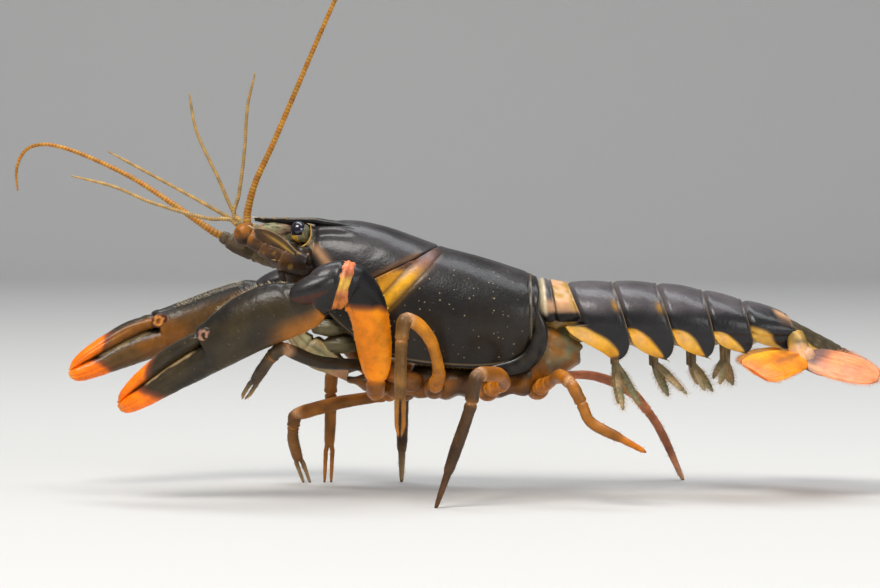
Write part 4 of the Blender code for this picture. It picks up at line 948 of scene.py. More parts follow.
def band_place(points):
    """Distance across the yellow band, ahead of it below zero, and how strong it is there."""
    x, z = points[..., 0], points[..., 2]
    run = np.array(BAND_FOOT) - np.array(BAND_TOP)
    length = np.linalg.norm(run)
    run = run / length
    away_x, away_z = x - BAND_TOP[0], z - BAND_TOP[1]
    travel = (away_x * run[0] + away_z * run[1]) / length
    across = away_z * run[0] - away_x * run[1]
    return across, step_between(-0.06, 0.05, travel) * falling(0.97, 1.04, travel)


def thorax_tint(points, band, over, drop, to_rear):
    """Colours of the thorax shell."""
    x, z = points[..., 0], points[..., 2]
    cloud = grain(points, 0.18, 7.0)
    # Mottled grey-mauve rising towards the top is painted sheen of the top light on the near-black shell
    tints = blend(DARK, MAUVE, np.clip(0.35 + 0.9 * cloud, 0.0, 1.0) * step_between(32.0, 37.5, z))
    tints = blend(tints, SEPIA * 0.75, 0.9 * falling(25.0, 35.0, z) * np.clip(0.7 + cloud, 0.0, 1.0))
    foot = step_between(31.0, 39.0, z)
    colour = blend(np.broadcast_to(GOLD, points.shape), PINK * 0.5, step_between(0.45, 0.95, foot))
    tints = blend(tints, colour,
                  over * hump(band, 0.0, BAND_HALF) * 0.95 * step_between(-0.05, 0.12, 1.02 - foot))
    wedge = step_between(0.9, 1.35, -band) * step_between(-10.3, -9.6, x) * step_between(30.8, 32.6, z)
    tints = blend(tints, AMBER * 0.5 + GOLD * 0.5, wedge * falling(35.6, 36.8, z) * 0.9)
    tints = blend(tints, BROWN * 0.5, 0.8 * hump(abs(band), BAND_HALF + 0.2, 0.16) * over)
    tints = blend(tints, BLACK, 0.8 * np.maximum(step_between(0.955, 0.97, drop) * np.ones_like(x),
                                                 falling(1.1, 1.3, to_rear)))
    tints = blend(tints, TAN * 0.6, 0.6 * hump(drop, 0.950, 0.008) * (to_rear > 1.2))
    return blend(tints, TAN * 0.6, 0.6 * hump(to_rear, 1.3, 0.10) * (drop < 0.95))


def shell_border():
    """The dark inner margin that shows behind and under the thorax shell."""
    piece = Piece("shell_border")
    share = np.linspace(0.0, 1.0, 46)
    width = 1.45 * np.sin(math.pi * np.clip(share * 0.90 + 0.04, 0, 1)) ** 0.6
    for sign in SIDES.values():
        route = spline(BORDER_PATH, 46)
        route[:, 1] *= sign
        points = tube(route, directions(route), (0, sign, 0), np.full(46, 0.55), width, 24)
        piece.grid(points, blend(BLACK, SEPIA, cloudy(points, 0.7, base=0.4)), ends=(0.2, 0.2))
    piece.finish(SHELL, "dark_shell")


# Underside

def underside():
    """Breast plate with ribs, and the swollen first joints of the limbs."""
    piece = Piece("underbody")
    x = np.linspace(-14.5, 22.8, 120)
    low, top, half = track(STERNUM_BOTTOM)(x), track(STERNUM_TOP)(x), track(STERNUM_HALF)(x)
    path = np.stack([x, np.zeros_like(x), 0.5 * (low + top)], axis=-1)
    aims = np.tile((1.0, 0.0, 0.0), (len(x), 1))
    points = tube(path, aims, (0, 1, 0), half, 0.5 * (top - low), 72, 3.0)
    ribs = 0.3 * np.sin(points[..., 0] * 1.45) * (points[..., 2] < 19.5)
    relief = ribs + 0.3 * grain(points, 0.4)
    tints = blend(BROWN * 0.8, AMBER * 0.6, cloudy(points, 0.35, 1.2, 0.4))
    behind = step_between(19.5, 22.5, points[..., 2]) * (points[..., 0] > 16.0)
    tints = blend(tints, blend(GREENISH * 0.7, AMBER * 0.7, cloudy(points, 0.5, 1.5)), behind)
    relief = relief + 0.22 * np.sin(points[..., 2] * 2.2 + points[..., 0] * 1.1) * behind
    tints = blend(tints, SEPIA * 1.4,
                  0.85 * step_between(17.8, 19.2, points[..., 2]) * (points[..., 0] < 15.0))
    piece.grid(points, tints, relief=relief, ends=(0.8, 0.8))
    limbs = [(spec[0], spec[2], spec[3][0], 1.4, HIP_GLOW[spec[1]]) for spec in LEGS]
    limbs += [(side, CLAW_HIP, CLAW_ARMS[side][0], 1.2, 0.9) for side in SIDES]
    for side, hip, follow, size, glow in limbs:
        end = on_side(hip, side)
        aim = hip_aim(side, hip, follow)
        start = end - aim * 4.2 * np.array((1.0, 1.0, 0.3)) - np.array((0.0, 0.4 * SIDES[side], 0.0))
        path = spline([start, 0.5 * (start + end) + np.array((0, 0, -0.35)), end], 26)
        share = np.linspace(0.0, 1.0, 26)
        sizes = size * (0.82 + 0.42 * np.sin(math.pi * share ** 0.8) - 0.10 * hump(share, 1.0, 0.08))
        points = tube(path, directions(path, last=aim), (1, 0, 0), sizes * 1.05, sizes, 30)
        tints = blend(AMBER, ORANGE * 0.4 + BROWN * 0.5, cloudy(points, 0.6, 1.4))
        tints = blend(tints, SEPIA * 2.0, np.broadcast_to(1.0 - glow, points.shape[:2]))
        tints = blend(tints, BROWN, 0.6 * step_between(0.15, 0.45, grain(points, 0.9, 5.0)))
        tints = blend(tints, BROWN * 0.6, rowwise(0.7 * hump(share, 0.86, 0.07), points))
        tints = blend(tints, HONEY, rowwise(0.3 * glow * hump(share, 0.97, 0.04), points))
        piece.grid(points, tints, relief=0.08 * grain(points, 0.9), ends=(0.0, 0.3))
    piece.finish(LIMB, "leg_shell", "sternum")


def hip_aim(side, hip, follow):
    """Direction in which a limb leaves its hip."""
    lead = unit(on_side(follow, side) - on_side(hip, side))
    return unit(np.array((0.0, SIDES[side] * 0.6, 0.0)) + lead)


# Eyes and feelers

def eye(side):
    """A polished eyeball on a stalk with a pale patch."""
    centre = on_side(EYE_PLACE, side)
    ball = Piece("eyeball_" + side)
    ball.ball(centre, (EYE_RADIUS, EYE_RADIUS * 0.97, EYE_RADIUS * 1.05), EYE_BLACK, rows=40, cols=56)
    ball.finish(EYE, "eye")
    stalk = Piece("eye_stalk_" + side)
    root = np.array((-21.9, centre[1] * 0.55, centre[2] - 0.9))
    path = spline([root, root * 0.45 + centre * 0.55 + np.array((0, 0, -0.15)), centre], 26)
    share = np.linspace(0.0, 1.0, 26)
    sizes = 0.95 + 0.25 * step_between(0.3, 0.75, share)
    points = tube(path, directions(path), (0, 1, 0), sizes, sizes, 32)
    tints = blend(GREENISH, HONEY, cloudy(points, 0.9, 1.5, 0.6))
    tints = blend(tints, BLACK, 0.75 * step_between(0.22, 0.34, grain(points, 2.2)))
    stalk.grid(points, tints, relief=0.03 * grain(points, 1.5))
    for shift, radii in ORBIT_LUMPS:
        stalk.ball(centre + on_side(shift, side), radii, orbit_tint, rows=24, cols=34,
                   relief=bumps(0.06, 2.5))
    rim = spline([centre + on_side(shift, side) for shift in ORBIT_RIM], 30)
    width = 0.17 * np.sin(math.pi * np.linspace(0.03, 0.97, 30)) ** 0.6
    points = tube(rim, directions(rim), (0, 1, 0), width, width, 12)
    stalk.grid(points, GOLD * 0.4 + GREENISH * 0.4)
    stalk.finish(SKIN, "soft_tan", "eye_" + side)


def orbit_tint(shape):
    """Yellow-green skin under the eye, mottled with dark spots."""
    tints = blend(GREENISH * 0.55, HONEY * 0.65,
                  step_between(-0.1, 0.6, -shape[..., 0] - 0.3 * shape[..., 2]))
    return blend(tints, SEPIA * 1.5, 0.8 * step_between(0.12, 0.34, grain(shape, 2.6, 2.0)))


def whip(piece, path, first, sizes, ring, cols, tints_pair):
    """A tapering feeler ringed by fine grooves."""
    length = np.linalg.norm(np.diff(spline(path, 60), axis=0), axis=1).sum()
    count = int(length / ring * 4.0)
    places = spline(path, count)
    aims = directions(places, first=first)
    share = np.linspace(0.0, 1.0, count)
    phase = share * length / ring
    radius = track(sizes)(share) * (1.0 + 0.10 * np.cos(2.0 * math.pi * phase))
    points = tube(places, aims, (0, 1, 0), radius, radius, cols)
    dark = 0.5 - 0.5 * np.cos(2.0 * math.pi * phase)
    pale = 0.5 + 0.5 * np.sin(2.0 * math.pi * phase / 5.0)
    tints = blend(tints_pair[0], tints_pair[1], rowwise(0.35 * pale + 0.1, points))
    tints = blend(tints, BROWN * 0.7, rowwise(0.5 * dark, points))
    piece.grid(points, tints)


def antennule(side):
    """Three-jointed antennule base with its two whips."""
    root = Piece("antennule_base_" + side)
    path = spline([on_side(place, side) for place in (ANTENNULE_ROOT, ANTENNULE_BEND, ANTENNULE_END)], 60)
    aims = directions(path, first=(-1.0, 0.0, 0.0), last=ANTENNULE_AIM)
    share = np.linspace(0.0, 1.0, 60)
    sizes = 0.86 - 0.12 * share
    for joint in (0.55, 0.8):
        sizes = sizes - 0.22 * hump(share, joint, 0.025) + 0.09 * hump(share, joint - 0.05, 0.03)
    points = tube(path, aims, (0, 1, 0), sizes, sizes * (1.0 + 0.85 * falling(0.3, 0.58, share)), 28)
    tints = blend(GREENISH * 0.7, TAN * 0.7, cloudy(points, 0.7, 1.3, 0.55))
    tints = blend(tints, BLACK, 0.7 * step_between(0.25, 0.38, grain(points, 2.4)))
    joints = hump(share, 0.55, 0.02) + hump(share, 0.8, 0.02)
    tints = blend(tints, HONEY, rowwise(0.5 * joints, points))
    root.grid(points, tints, relief=0.03 * grain(points, 1.2), ends=(0.2, 0.25))
    root.ball(on_side(SNOUT_PLACE, side), SNOUT_RADII, snout_tint, rows=30, cols=40,
              relief=bumps(0.06, 2.2))
    root.finish(SKIN, "soft_tan", "antennule_root_" + side)
    aim = unit(np.array(ANTENNULE_AIM))
    above = unit(np.cross(aim, (0.0, 1.0, 0.0)))
    above = above if above[2] > 0 else -above
    end = on_side(ANTENNULE_END, side)
    for kind, shift in (("long", -0.5), ("short", 0.5)):
        start = end + above * shift * 0.95
        places = [start, start + aim * 1.5] + [on_side(place, side) for place in ANTENNULES[side][kind]]
        feeler = Piece("antennule_whip_{}_{}".format(side, kind))
        whip(feeler, places, aim, ANTENNULE_SIZE, 0.42, 8, (TAN * 0.9, HONEY))
        feeler.finish(WHIP, "whip", "antennule_{}_{}".format(side, kind))


def snout_tint(shape):
    """Skin between rostrum and scale: amber in front, green, then grey with dark spots."""
    x = shape[..., 0]
    tints = blend(GREENISH * 1.15, PINK * 0.3 + GREENISH * 0.4,
                  step_between(-0.1, 0.5, x + 0.3 * grain(shape, 1.5)))
    tints = blend(tints, AMBER * 0.8 + PINK * 0.25, step_between(0.45, 0.8, -x))
    return blend(tints, BLACK, 0.8 * step_between(0.26, 0.38, grain(shape, 3.4)))


def antenna(side):
    """Antenna base in four joints, its scale, and the long ringed whip."""
    base = Piece("antenna_base_" + side)
    route = [on_side(place, side) for place in ANTENNA_BASE[side]]
    path = spline(route, 90)
    last = unit(route[-1] - route[-2])
    aims = directions(path, first=(-1.0, 0.0, 0.0), last=last)
    share = np.linspace(0.0, 1.0, 90)
    sizes = track(ANTENNA_BASE_SIZE)(share)
    joints = (0.34, 0.62, 0.93)
    for joint in joints:
        sizes = sizes - 0.20 * hump(share, joint, 0.014) + 0.10 * hump(share, joint - 0.035, 0.03)
    points = tube(path, aims, (0, 1, 0), sizes * 0.96, sizes * 1.02, 40)
    knob = (AMBER * 0.6 + BROWN * 0.3) if side == "left" else (DARK + TAN * 0.25)
    lower = BROWN if side == "left" else (OLIVE + TAN * 0.3)
    spread = rowwise(share, points)
    tints = blend(lower * 0.35, lower * 0.9, cloudy(points, 0.5, 1.5))
    tints = blend(tints, knob, step_between(0.72, 0.80, spread))
    # Near black towards the root is painted shadow under the head
    tints = blend(tints, BLACK, 0.7 * falling(0.12, 0.34, spread))
    # Darker brown on the underside of the outer joints is painted shade
    under = step_between(-0.1, 0.9, (path[:, None, 2] - points[..., 2]) / sizes[:, None])
    tints = blend(tints, BROWN * 0.35, 0.8 * under * step_between(0.62, 0.7, spread))
    for joint in joints[:2]:
        tints = blend(tints, TAN * 0.5, 0.5 * hump(spread, joint, 0.006))
    tints = blend(tints, HONEY * 0.5,
                  0.6 * step_between(0.30, 0.45, grain(points, 0.6, 9.0)) * falling(0.55, 0.6, spread))
    base.grid(points, tints, relief=0.10 * grain(points, 0.8), ends=(1.1, 0.3))
    for place, radii, rows, cols, height, scale in ANTENNA_FEET:
        base.ball(on_side(place, side), radii, foot_tint, rows=rows, cols=cols, relief=bumps(height, scale))
    if side == "left":
        base.ball(*NEAR_KNOB, knob_tint, rows=30, cols=40, relief=bumps(0.05, 2.0))
    foot, point = on_side((0, 1.4, -0.6), side), on_side((-1.9, 1.7, -0.5), side)
    base.spine(path[28] + foot, path[28] + point, 0.4, BROWN, TAN)
    scale_blade(base, side)
    base.finish(LIMB, "leg_shell", "antenna_root_" + side)
    feeler = Piece("antenna_whip_" + side)
    start = path[-1]
    places = [start, start + last * 1.8] + [limb_place(place, side) for place in ANTENNA[side]]
    whip(feeler, places, last, ANTENNA_SIZE, 0.62, 12, (AMBER * 1.05 + OLIVE * 0.3, HONEY * 0.9))
    feeler.finish(WHIP, "whip", "antenna_" + side)


def foot_tint(shape):
    """Dark brown foot of an antenna, darkened further as painted shadow under the head."""
    return blend(BROWN * 0.22, SEPIA * 0.8, cloudy(shape, 1.6, 1.2))


def knob_tint(shape):
    """Amber above and dark brown below, the dark brown underside being painted shade, with brown spots."""
    low = falling(-0.55, 0.55, shape[..., 2] - 0.25 * shape[..., 0])
    tints = blend(AMBER * 0.8, BROWN * 0.25, low)
    return blend(tints, BROWN * 0.8, 0.6 * step_between(0.1, 0.5, grain(shape, 1.8)))


def scale_blade(piece, side):
    """The leaf-shaped scale outside an antenna's base, with a pale rib and a hairy inner edge."""
    root, tip = on_side(SCALE_ROOT, side), on_side(SCALE_TIP, side)
    thick = track([(0.0, 0.5), (1.0, 0.2)])
    points, spread, edge = leaf(root, tip, on_side(SCALE_ACROSS, side), track(SCALE_HALF), thick, 40, 26,
                                0.18)
    tints = blend(BROWN * 0.8, SEPIA * 1.6, cloudy(points, 0.8))
    tints = blend(tints, HONEY * 0.6, 0.8 * hump(edge, 0.35, 0.16) * falling(0.4, 0.9, spread))
    tints = blend(tints, TAN * 0.7, 0.9 * step_between(0.86, 0.98, abs(edge)))
    piece.grid(points, tints)
    piece.spine(tip - unit(tip - root) * 0.5, tip + unit(tip - root), 0.28, BROWN, CREAM)


def leaf(root, tip, across, half, thick, rows, cols, rib, arch=0.0):
    """Closed rings of a thin leaf, with the share along it and the place across it of each point."""
    aim = unit(tip - root)
    across = square_to(across, aim)
    up = np.cross(aim, across)
    share = np.linspace(0.0, 1.0, rows)
    angle = turns(cols)
    edge = np.cos(angle)
    wave = np.sin(angle)
    body = np.sign(wave) * (abs(wave) ** 0.6) * (0.55 + 0.45 * (1.0 - edge ** 2))
    body = body + rib * hump(edge, 0.0, 0.12) * np.sign(wave)
    centre = root + (tip - root) * share[:, None] + up * (arch * 4.0 * share * (1.0 - share))[:, None]
    points = (centre[:, None] + across * (half(share)[:, None] * edge)[..., None]
              + up * (thick(share)[:, None] * body)[..., None])
    spread = rowwise(share, points)
    return points, spread, np.broadcast_to(edge, points.shape[:2])


def jaw_leg(side):
    """Outer jaw leg folded under the mouth: a broad translucent blade and a slim end."""
    piece = Piece("jaw_leg_skin_" + side)
    path = spline([on_side(place, side) for place in JAW_LEG], 80)
    aims = directions(path, first=(-1.0, 0.0, 0.25))
    share = np.linspace(0.0, 1.0, 80)
    sizes = track(JAW_LEG_SIZE)(share)
    for joint in (0.42, 0.66, 0.84):
        sizes = sizes * (1.0 - 0.28 * hump(share, joint, 0.014) + 0.07 * hump(share, joint - 0.04, 0.03))
    points = tube(path, aims, (0, 1, 0), sizes * 0.72, sizes * (1.0 + 0.5 * hump(share, 0.3, 0.16)), 40)
    spread = rowwise(share, points)
    around = np.broadcast_to(np.sin(turns(40)), points.shape[:2])
    tints = blend(GREENISH * 1.3, TAN * 0.9, cloudy(points, 0.5, base=0.4))
    tints = blend(tints, OLIVE, 0.6 * (hump(around, 0.45, 0.12) + hump(around, -0.35, 0.1))
                  * step_between(0.08, 0.2, spread))
    tints = blend(tints, SEPIA * 2.0, 0.75 * step_between(0.5, 0.8, spread))
    tints = blend(tints, SALMON * 0.8, 0.6 * hump(spread, 0.06, 0.07))
    piece.grid(points, tints, relief=0.06 * grain(points, 0.7), ends=(0.0, 0.2))
    piece.finish(SKIN, "soft_tan", "jaw_leg_" + side)


def mouth():
    """Small folded mouthparts between the jaw legs."""
    piece = Piece("mouthparts")
    for sign in SIDES.values():
        for number, (x, y, z, size) in enumerate(MOUTH_LUMPS):
            soft = number > 7
            lump = GREENISH * 0.4 + BROWN * 0.3 if soft else blend(BROWN * 0.5, SEPIA * 1.5, 0.1 * number)
            radii = (size * (1.6 if soft else 1.25), size * 0.7, size * (0.75 if soft else 1.0))
            piece.ball((x, sign * y, z), radii, lump, rows=16, cols=22,
                       relief=lambda shape: 0.10 * np.sin(shape[..., 2] * 9.0) + 0.12 * grain(shape, 1.7))
        for x, y, z, down in MOUTH_PALPS:
            path = spline([(x, sign * y, z), (x - 0.9, sign * (y + 0.2), z - down * 0.5),
                           (x - 0.1, sign * (y - 0.3), z - down)], 24)
            sizes = 0.42 * (1.0 - 0.5 * np.linspace(0.0, 1.0, 24))
            points = tube(path, directions(path), (0, 1, 0), sizes, sizes, 12)
            piece.grid(points, blend(TAN * 0.5, BROWN * 0.6, cloudy(points, 1.2)), ends=(0.0, 0.1))
    piece.finish(SKIN, "soft_tan")


# Limbs

def limb(piece, path, aims, radius, joints, colour, deep=1.0):
    """A shelled limb along a path, with pinched joints and swollen ends of its segments."""
    share = np.linspace(0.0, 1.0, len(path))
    sizes = radius(share)
    for joint in joints:
        sizes = sizes * (1.0 + LIMB_SWELL * hump(share, joint - 0.035, 0.035)
                         + LIMB_SWELL * 0.6 * hump(share, joint + 0.035, 0.03)
                         - LIMB_NOTCH * hump(share, joint, 0.011))
    points = tube(path, aims, (1, 0, 0), sizes, sizes * deep, 24)
    spread = rowwise(share, points)
    tints = colour(points, spread)
    for joint in joints:
        tints = blend(tints, AMBER, 0.5 * hump(spread, joint, 0.03))
        tints = blend(tints, PEACH, 0.3 * hump(spread, joint, 0.008))
    piece.grid(points, tints, relief=0.05 * grain(points, 0.9) + 0.02 * grain(points, 2.4), ends=(0.25, 0.0))


LEG_COLOURS = {
    ("left", 2): (SEPIA * 1.5, SEPIA * 2.2 + BROWN * 0.2, TAN),
    ("left", 3): (AMBER * 1.15 + GOLD * 0.1, OLIVE * 1.5 + AMBER * 0.3, AMBER * 0.9),
    ("left", 4): (AMBER * 0.7 + RUST * 0.2, BROWN * 0.45 + SEPIA * 0.6, BROWN),
    ("left", 5): (AMBER * 0.8 + RUST * 0.2, AMBER * 0.6 + BROWN * 0.3, ORANGE * 0.7),
    ("right", 2): (BROWN * 0.5 + AMBER * 0.6, BROWN * 0.7 + OLIVE * 0.6 + AMBER * 0.2, TAN),
    ("right", 3): (OLIVE + AMBER * 0.3, OLIVE * 0.7 + AMBER * 0.65, AMBER),
    ("right", 4): (BROWN * 0.6, BROWN * 0.6, TAN),
    ("right", 5): (SALMON * 0.7, SALMON * 0.6 + BROWN * 0.2, PEACH * 0.8),
}
LEG_SCALE = {("left", 5): 0.9, ("right", 5): 0.74}


def leg(spec):
    """One walking leg, its upper and its lower half."""
    side, number, hip, upper, knee, lower, tip, pincer, planted = spec
    first_colour, second_colour, toe_colour = LEG_COLOURS[side, number]
    hip_end = on_side(hip, side)
    knee_end, tip_end = limb_place(knee, side), limb_place(tip, side)
    upper = [limb_place(place, side) for place in upper]
    lower = [limb_place(place, side) for place in lower]
    name = "leg_{}_{}".format(side, number)
    first = hip_aim(side, hip, spec[3][0])
    turn = unit(unit(lower[0] - knee_end) + unit(knee_end - upper[-1]))

    def upper_colour(points, spread):
        tints = blend(first_colour * 1.15, first_colour * 0.7, cloudy(points, 0.45, 1.2))
        tints = blend(tints, ORANGE * 0.4 + AMBER * 0.3, 0.5 * falling(0.12, 0.36, spread))
        return blend(tints, PEACH * 0.7 + AMBER * 0.2, 0.6 * step_between(0.92, 0.99, spread))

    piece = Piece(name + "_thigh")
    path = spline([hip_end, hip_end + first * 1.1] + upper + [knee_end], 70)
    aims = directions(path, first=first, last=turn)
    scale = LEG_SCALE.get((side, number), 1.0)
    radius = track([(0.0, HIP_SIZE)] + [(at, scale * size) for at, size in THIGH_SIZE])
    limb(piece, path, aims, radius, (0.10, 0.26), upper_colour, deep=1.12)
    piece.ball(path[-1], (scale, scale * 0.98, scale), PEACH * 0.6 + AMBER * 0.2, rows=14, cols=20,
               relief=bumps(0.08, 2.0))
    piece.finish(LIMB, "leg_shell", name + "_upper")

    def lower_colour(points, spread):
        tints = blend(second_colour * 1.2, second_colour * 0.65, cloudy(points, 0.45, 1.2, shift=3.0))
        tints = blend(tints, PEACH * 0.6 + AMBER * 0.2, 0.6 * falling(0.0, 0.06, spread))
        return blend(tints, toe_colour, 0.75 * step_between(0.62, 0.98, spread))

    piece = Piece(name + "_shin")
    fine = spline([knee_end, knee_end + turn * 0.9] + lower + [tip_end], 140)
    last = np.array((0.0, 0.0, -1.0)) if planted else None
    aims = directions(fine, first=turn, last=last)
    share = PINCER_SHARE if pincer else TOE_SHARE
    split = int(round((1.0 - share) * 139))
    shaft = fine[:split + 1]
    radius = track([(at, scale * size) for at, size in SHIN_SIZE])
    limb(piece, shaft, aims[:split + 1], radius, (0.30,),
         lambda points, spread: lower_colour(points, spread * (1 - share)))
    if pincer:
        for offset in (-PINCER_GAP, PINCER_GAP):
            toe(piece, fine[split - 8:], aims[split - 8:], offset, PINCER_SIZE, planted, lower_colour, share)
    else:
        toe(piece, fine[split - 4:], aims[split - 4:], 0.0, 1.0, planted, lower_colour, share)
    piece.finish(LIMB, "leg_shell", name + "_lower")
    LIMB_PATHS[name] = (fine, aims, split)


LIMB_PATHS = {}


def toe(piece, path, aims, offset, share, planted, colour, part):
    """One finger or claw at a leg's end."""
    along_toe = np.linspace(0.0, 1.0, len(path))
    shift = offset * np.clip(0.45 + 2.2 * along_toe, 0.0, 1.0)
    if offset and not planted:
        shift = shift * (1.0 - 0.55 * step_between(0.7, 1.0, along_toe))
    path = path + np.outer(shift, (1.0, 0.0, 0.0))
    sizes = share * track(TOE_SIZE + [(1.0, 0.26 if planted else 0.08)])(along_toe)
    if planted:
        sizes = np.maximum(sizes, 0.2)
    points = tube(path, aims, (0, 1, 0), sizes, sizes, 18)
    spread = rowwise(1.0 - part + part * along_toe, points)
    tints = blend(colour(points, spread), BROWN * 0.5, 0.75 * step_between(0.97, 1.0, spread))
    piece.grid(points, tints, relief=0.02 * grain(points, 1.8))


# Claws

def claw_frame(side):
    """Wrist place and the claw's three directions: on, up and across."""
    aim = unit(on_side(CLAW_AIM[side], side))
    up = square_to(np.array((0.0, 0.0, 1.0)), aim)
    return limb_place(CLAW_WRIST[side], side), aim, up, np.cross(aim, up)


def claw_arm(side):
    """Upper arm with its spines, the skin of the elbow, and the wrist block with its crease."""
    wrist, aim, up, _ = claw_frame(side)
    hip = on_side(CLAW_HIP, side)
    first = hip_aim(side, CLAW_HIP, CLAW_ARMS[side][0])
    end = wrist + up * WRIST_LIFT - aim * 0.3
    route = [hip, hip + first * 1.3] + [limb_place(place, side) for place in CLAW_ARMS[side]]
    route += [end - aim * 1.5, end]
    count = 150
    path = spline(route, count)
    aims = directions(path, first=first, last=aim)
    share = np.linspace(0.0, 1.0, count)
    deep, thick = track(ARM_DEEP)(share), track(ARM_THICK)(share)
    elbow = CLAW_ELBOW[side]
    pinch = 1.0 - 0.22 * hump(share, 0.065, 0.012)
    deep, thick = deep * pinch, thick * pinch
    points = tube(path, aims, (1.0, 0.0, 0.0), deep, thick, 60)
    across, _ = carried(aims, (1.0, 0.0, 0.0))
    spread = rowwise(share, points)
    front = ((points - path[:, None]) * across[:, None]).sum(axis=-1) / deep[:, None]
    at = int(round(elbow * (count - 1)))
    centre = np.broadcast_to(path[:, None], points.shape)
    outer = np.array((0.0, SIDES[side], 0.0))
    if side == "left":
        place = np.array((ELBOW_PLACE[0], 0.0, ELBOW_PLACE[1]))
        face = np.array((ELBOW_FACE[0], 0.0, ELBOW_FACE[1]))
    else:
        place, face = path[at], aims[at]
    distance = (points - place) @ face
    low = int(count * 0.45)
    before, after = crossing(distance, -1.0, low), crossing(distance, 1.0, low)

    arm = Piece("claw_upper_arm_" + side)
    tints = arm_tint(points, spread, front, outer, centre)
    relief = 0.05 * grain(points, 0.5) + 0.025 * grain(points, 1.6)
    start = np.zeros(len(before))
    ring = np.linspace(0.0, 1.0, 120)[:, None]
    arm.grid(between_rows(points, start, before, 120), between_rows(tints, start, before, 120),
             relief=between_rows(relief, start, before, 120) + 0.22 * hump(ring, 0.97, 0.02), ends=(0.3, 0.6))
    rng = random.Random(11)
    for row in range(44, at - 8, 5):
        for turn in (0, 27, 33):
            spot = points[row, turn]
            out = unit(spot - path[row])
            size = 0.10 + 0.08 * rng.random()
            arm.ball(spot, (size, size, size), HONEY * (0.4 + 0.5 * rng.random()), rows=7, cols=9)
            if turn == 27 and row % 2:
                arm.spine(spot - out * 0.1, spot + out * 0.45 - aims[row] * 0.1, 0.22, AMBER, HONEY)
    arm.finish(LIMB, "orange_shell", "claw_arm_" + side)

    joint = Piece("claw_elbow_" + side)
    first_row, last_row = crossing(distance, -1.7, low), crossing(distance, 1.7, low)
    local = np.linspace(-1.0, 1.0, 30)[:, None]
    middle = between_rows(centre, first_row, last_row, 30)
    skin_points = between_rows(points, first_row, last_row, 30)
    skin_points = middle + (skin_points - middle) * (0.90 + 0.14 * np.cos(local * 1.4))[..., None]
    level = skin_points[..., 2] + 0.8 * grain(skin_points, 0.7)
    tints = blend(SALMON * 0.7 + FLAME * 0.25, RUST, cloudy(skin_points, 0.5, 1.4, 0.3))
    tints = blend(tints, HONEY * 1.1, 0.9 * hump(level, 34.4, 1.1))
    tints = blend(tints, AMBER * 1.1 + SALMON * 0.2, 0.8 * falling(31.6, 33.0, level))
    joint.grid(skin_points, tints, relief=0.08 * np.sin(local * 12.0) + 0.12 * grain(skin_points, 0.9),
               ends=(0.2, 0.2))
    joint.finish(SKIN, "orange_shell")

    block = Piece("claw_wrist_block_" + side)
    end = np.full(len(after), count - 1.0)
    cut = between_rows(points, after, end, 60)
    cut_spread = np.linspace(0.0, 1.0, 60)[:, None] * np.ones((1, cut.shape[1]))
    above = cut[..., 2] - between_rows(centre, after, end, 60)[..., 2]
    crease = hump(cut_spread + 0.05 * grain(cut, 0.6), 0.80, 0.05)
    # Grey-mauve on the upper side of the wrist block is painted sheen
    tints = blend(DARK * 0.9, MAUVE * 0.9, cloudy(cut, 0.3, 1.1) * step_between(-0.2, 1.6, above))
    tints = blend(tints, RUST * 0.45, 0.9 * crease)
    tints = blend(tints, RUST * 0.6, 0.8 * step_between(0.9, 1.0, cut_spread))
    relief = (0.07 * grain(cut, 0.45) + 0.03 * grain(cut, 1.4) + 0.14 * hump(cut_spread, 0.05, 0.05)
              - 0.25 * crease)
    block.grid(cut, tints, relief=relief, ends=(0.5, 0.4))
    place, radii, lead = WRIST_CAPS[side]
    lead = unit(np.array(lead))
    rise = unit(np.cross(lead, outer))
    axes = (lead, outer, rise)
    block.ball(np.array(place) - rise * math.copysign(0.4, rise[2]) + lead * 0.35, np.array(radii) * 0.95,
               RUST * 0.25, axes=axes, rows=40, cols=56, relief=bumps(0.08, 1.6))
    block.ball(place, radii, wrist_tint, axes=axes, rows=50, cols=70, relief=bumps(0.07, 1.6))
    inner = -outer
    spot = path[at + 22] + inner * thick[at + 22] * 0.95
    block.spine(spot, spot + inner * 0.9 + aims[at + 22] * 0.9, 0.55, DARK, CREAM)
    block.finish(SHELL, "claw_shell", "claw_wrist_" + side)


def wrist_tint(shape):
    """Near black with a painted grey sheen on top, mirrored underneath."""
    return blend(DARK * 0.9, MAUVE * 1.1,
                 cloudy(shape, 0.9, 1.1) * step_between(-0.2, 0.8, abs(shape[..., 2])))


def arm_tint(points, spread, front, outer, centre):
    """Colours of a claw's upper arm: orange below, near black above, olive on its inner face."""
    z = points[..., 2]
    tints = blend(ORANGE, AMBER * 1.9, cloudy(points, 0.4, 0.8, 0.1) * 0.3)
    tints = blend(tints, GOLD, 0.25 * hump(front, 0.5, 0.3))
    level = z + 0.12 * (points[..., 0] + 12.0) + 0.5 * grain(points, 0.45)
    tints = blend(tints, RUST * 0.7, 0.9 * step_between(29.6, 30.7, level))
    tints = blend(tints, BLACK * 1.6, step_between(30.4, 31.4, level))
    inner = step_between(0.2, 1.2, -((points - centre) @ outer))
    tints = blend(tints, OLIVE * 0.9, 0.85 * inner)
    return blend(tints, BROWN * 0.8 + AMBER * 0.15, 0.9 * falling(17.4, 18.6, z) * (spread < 0.5))


def claw_rings(frame, at, low, top, thick, cols, power):
    """Rings across a claw at places along it."""
    wrist, aim, up, across = frame
    centre = wrist + aim * at[:, None] + up * (0.5 * (low + top))[:, None]
    cos, sin = outline(cols, power)
    return (centre[:, None] + across * (thick[:, None] * cos)[..., None]
            + up * ((0.5 * (top - low))[:, None] * sin)[..., None])


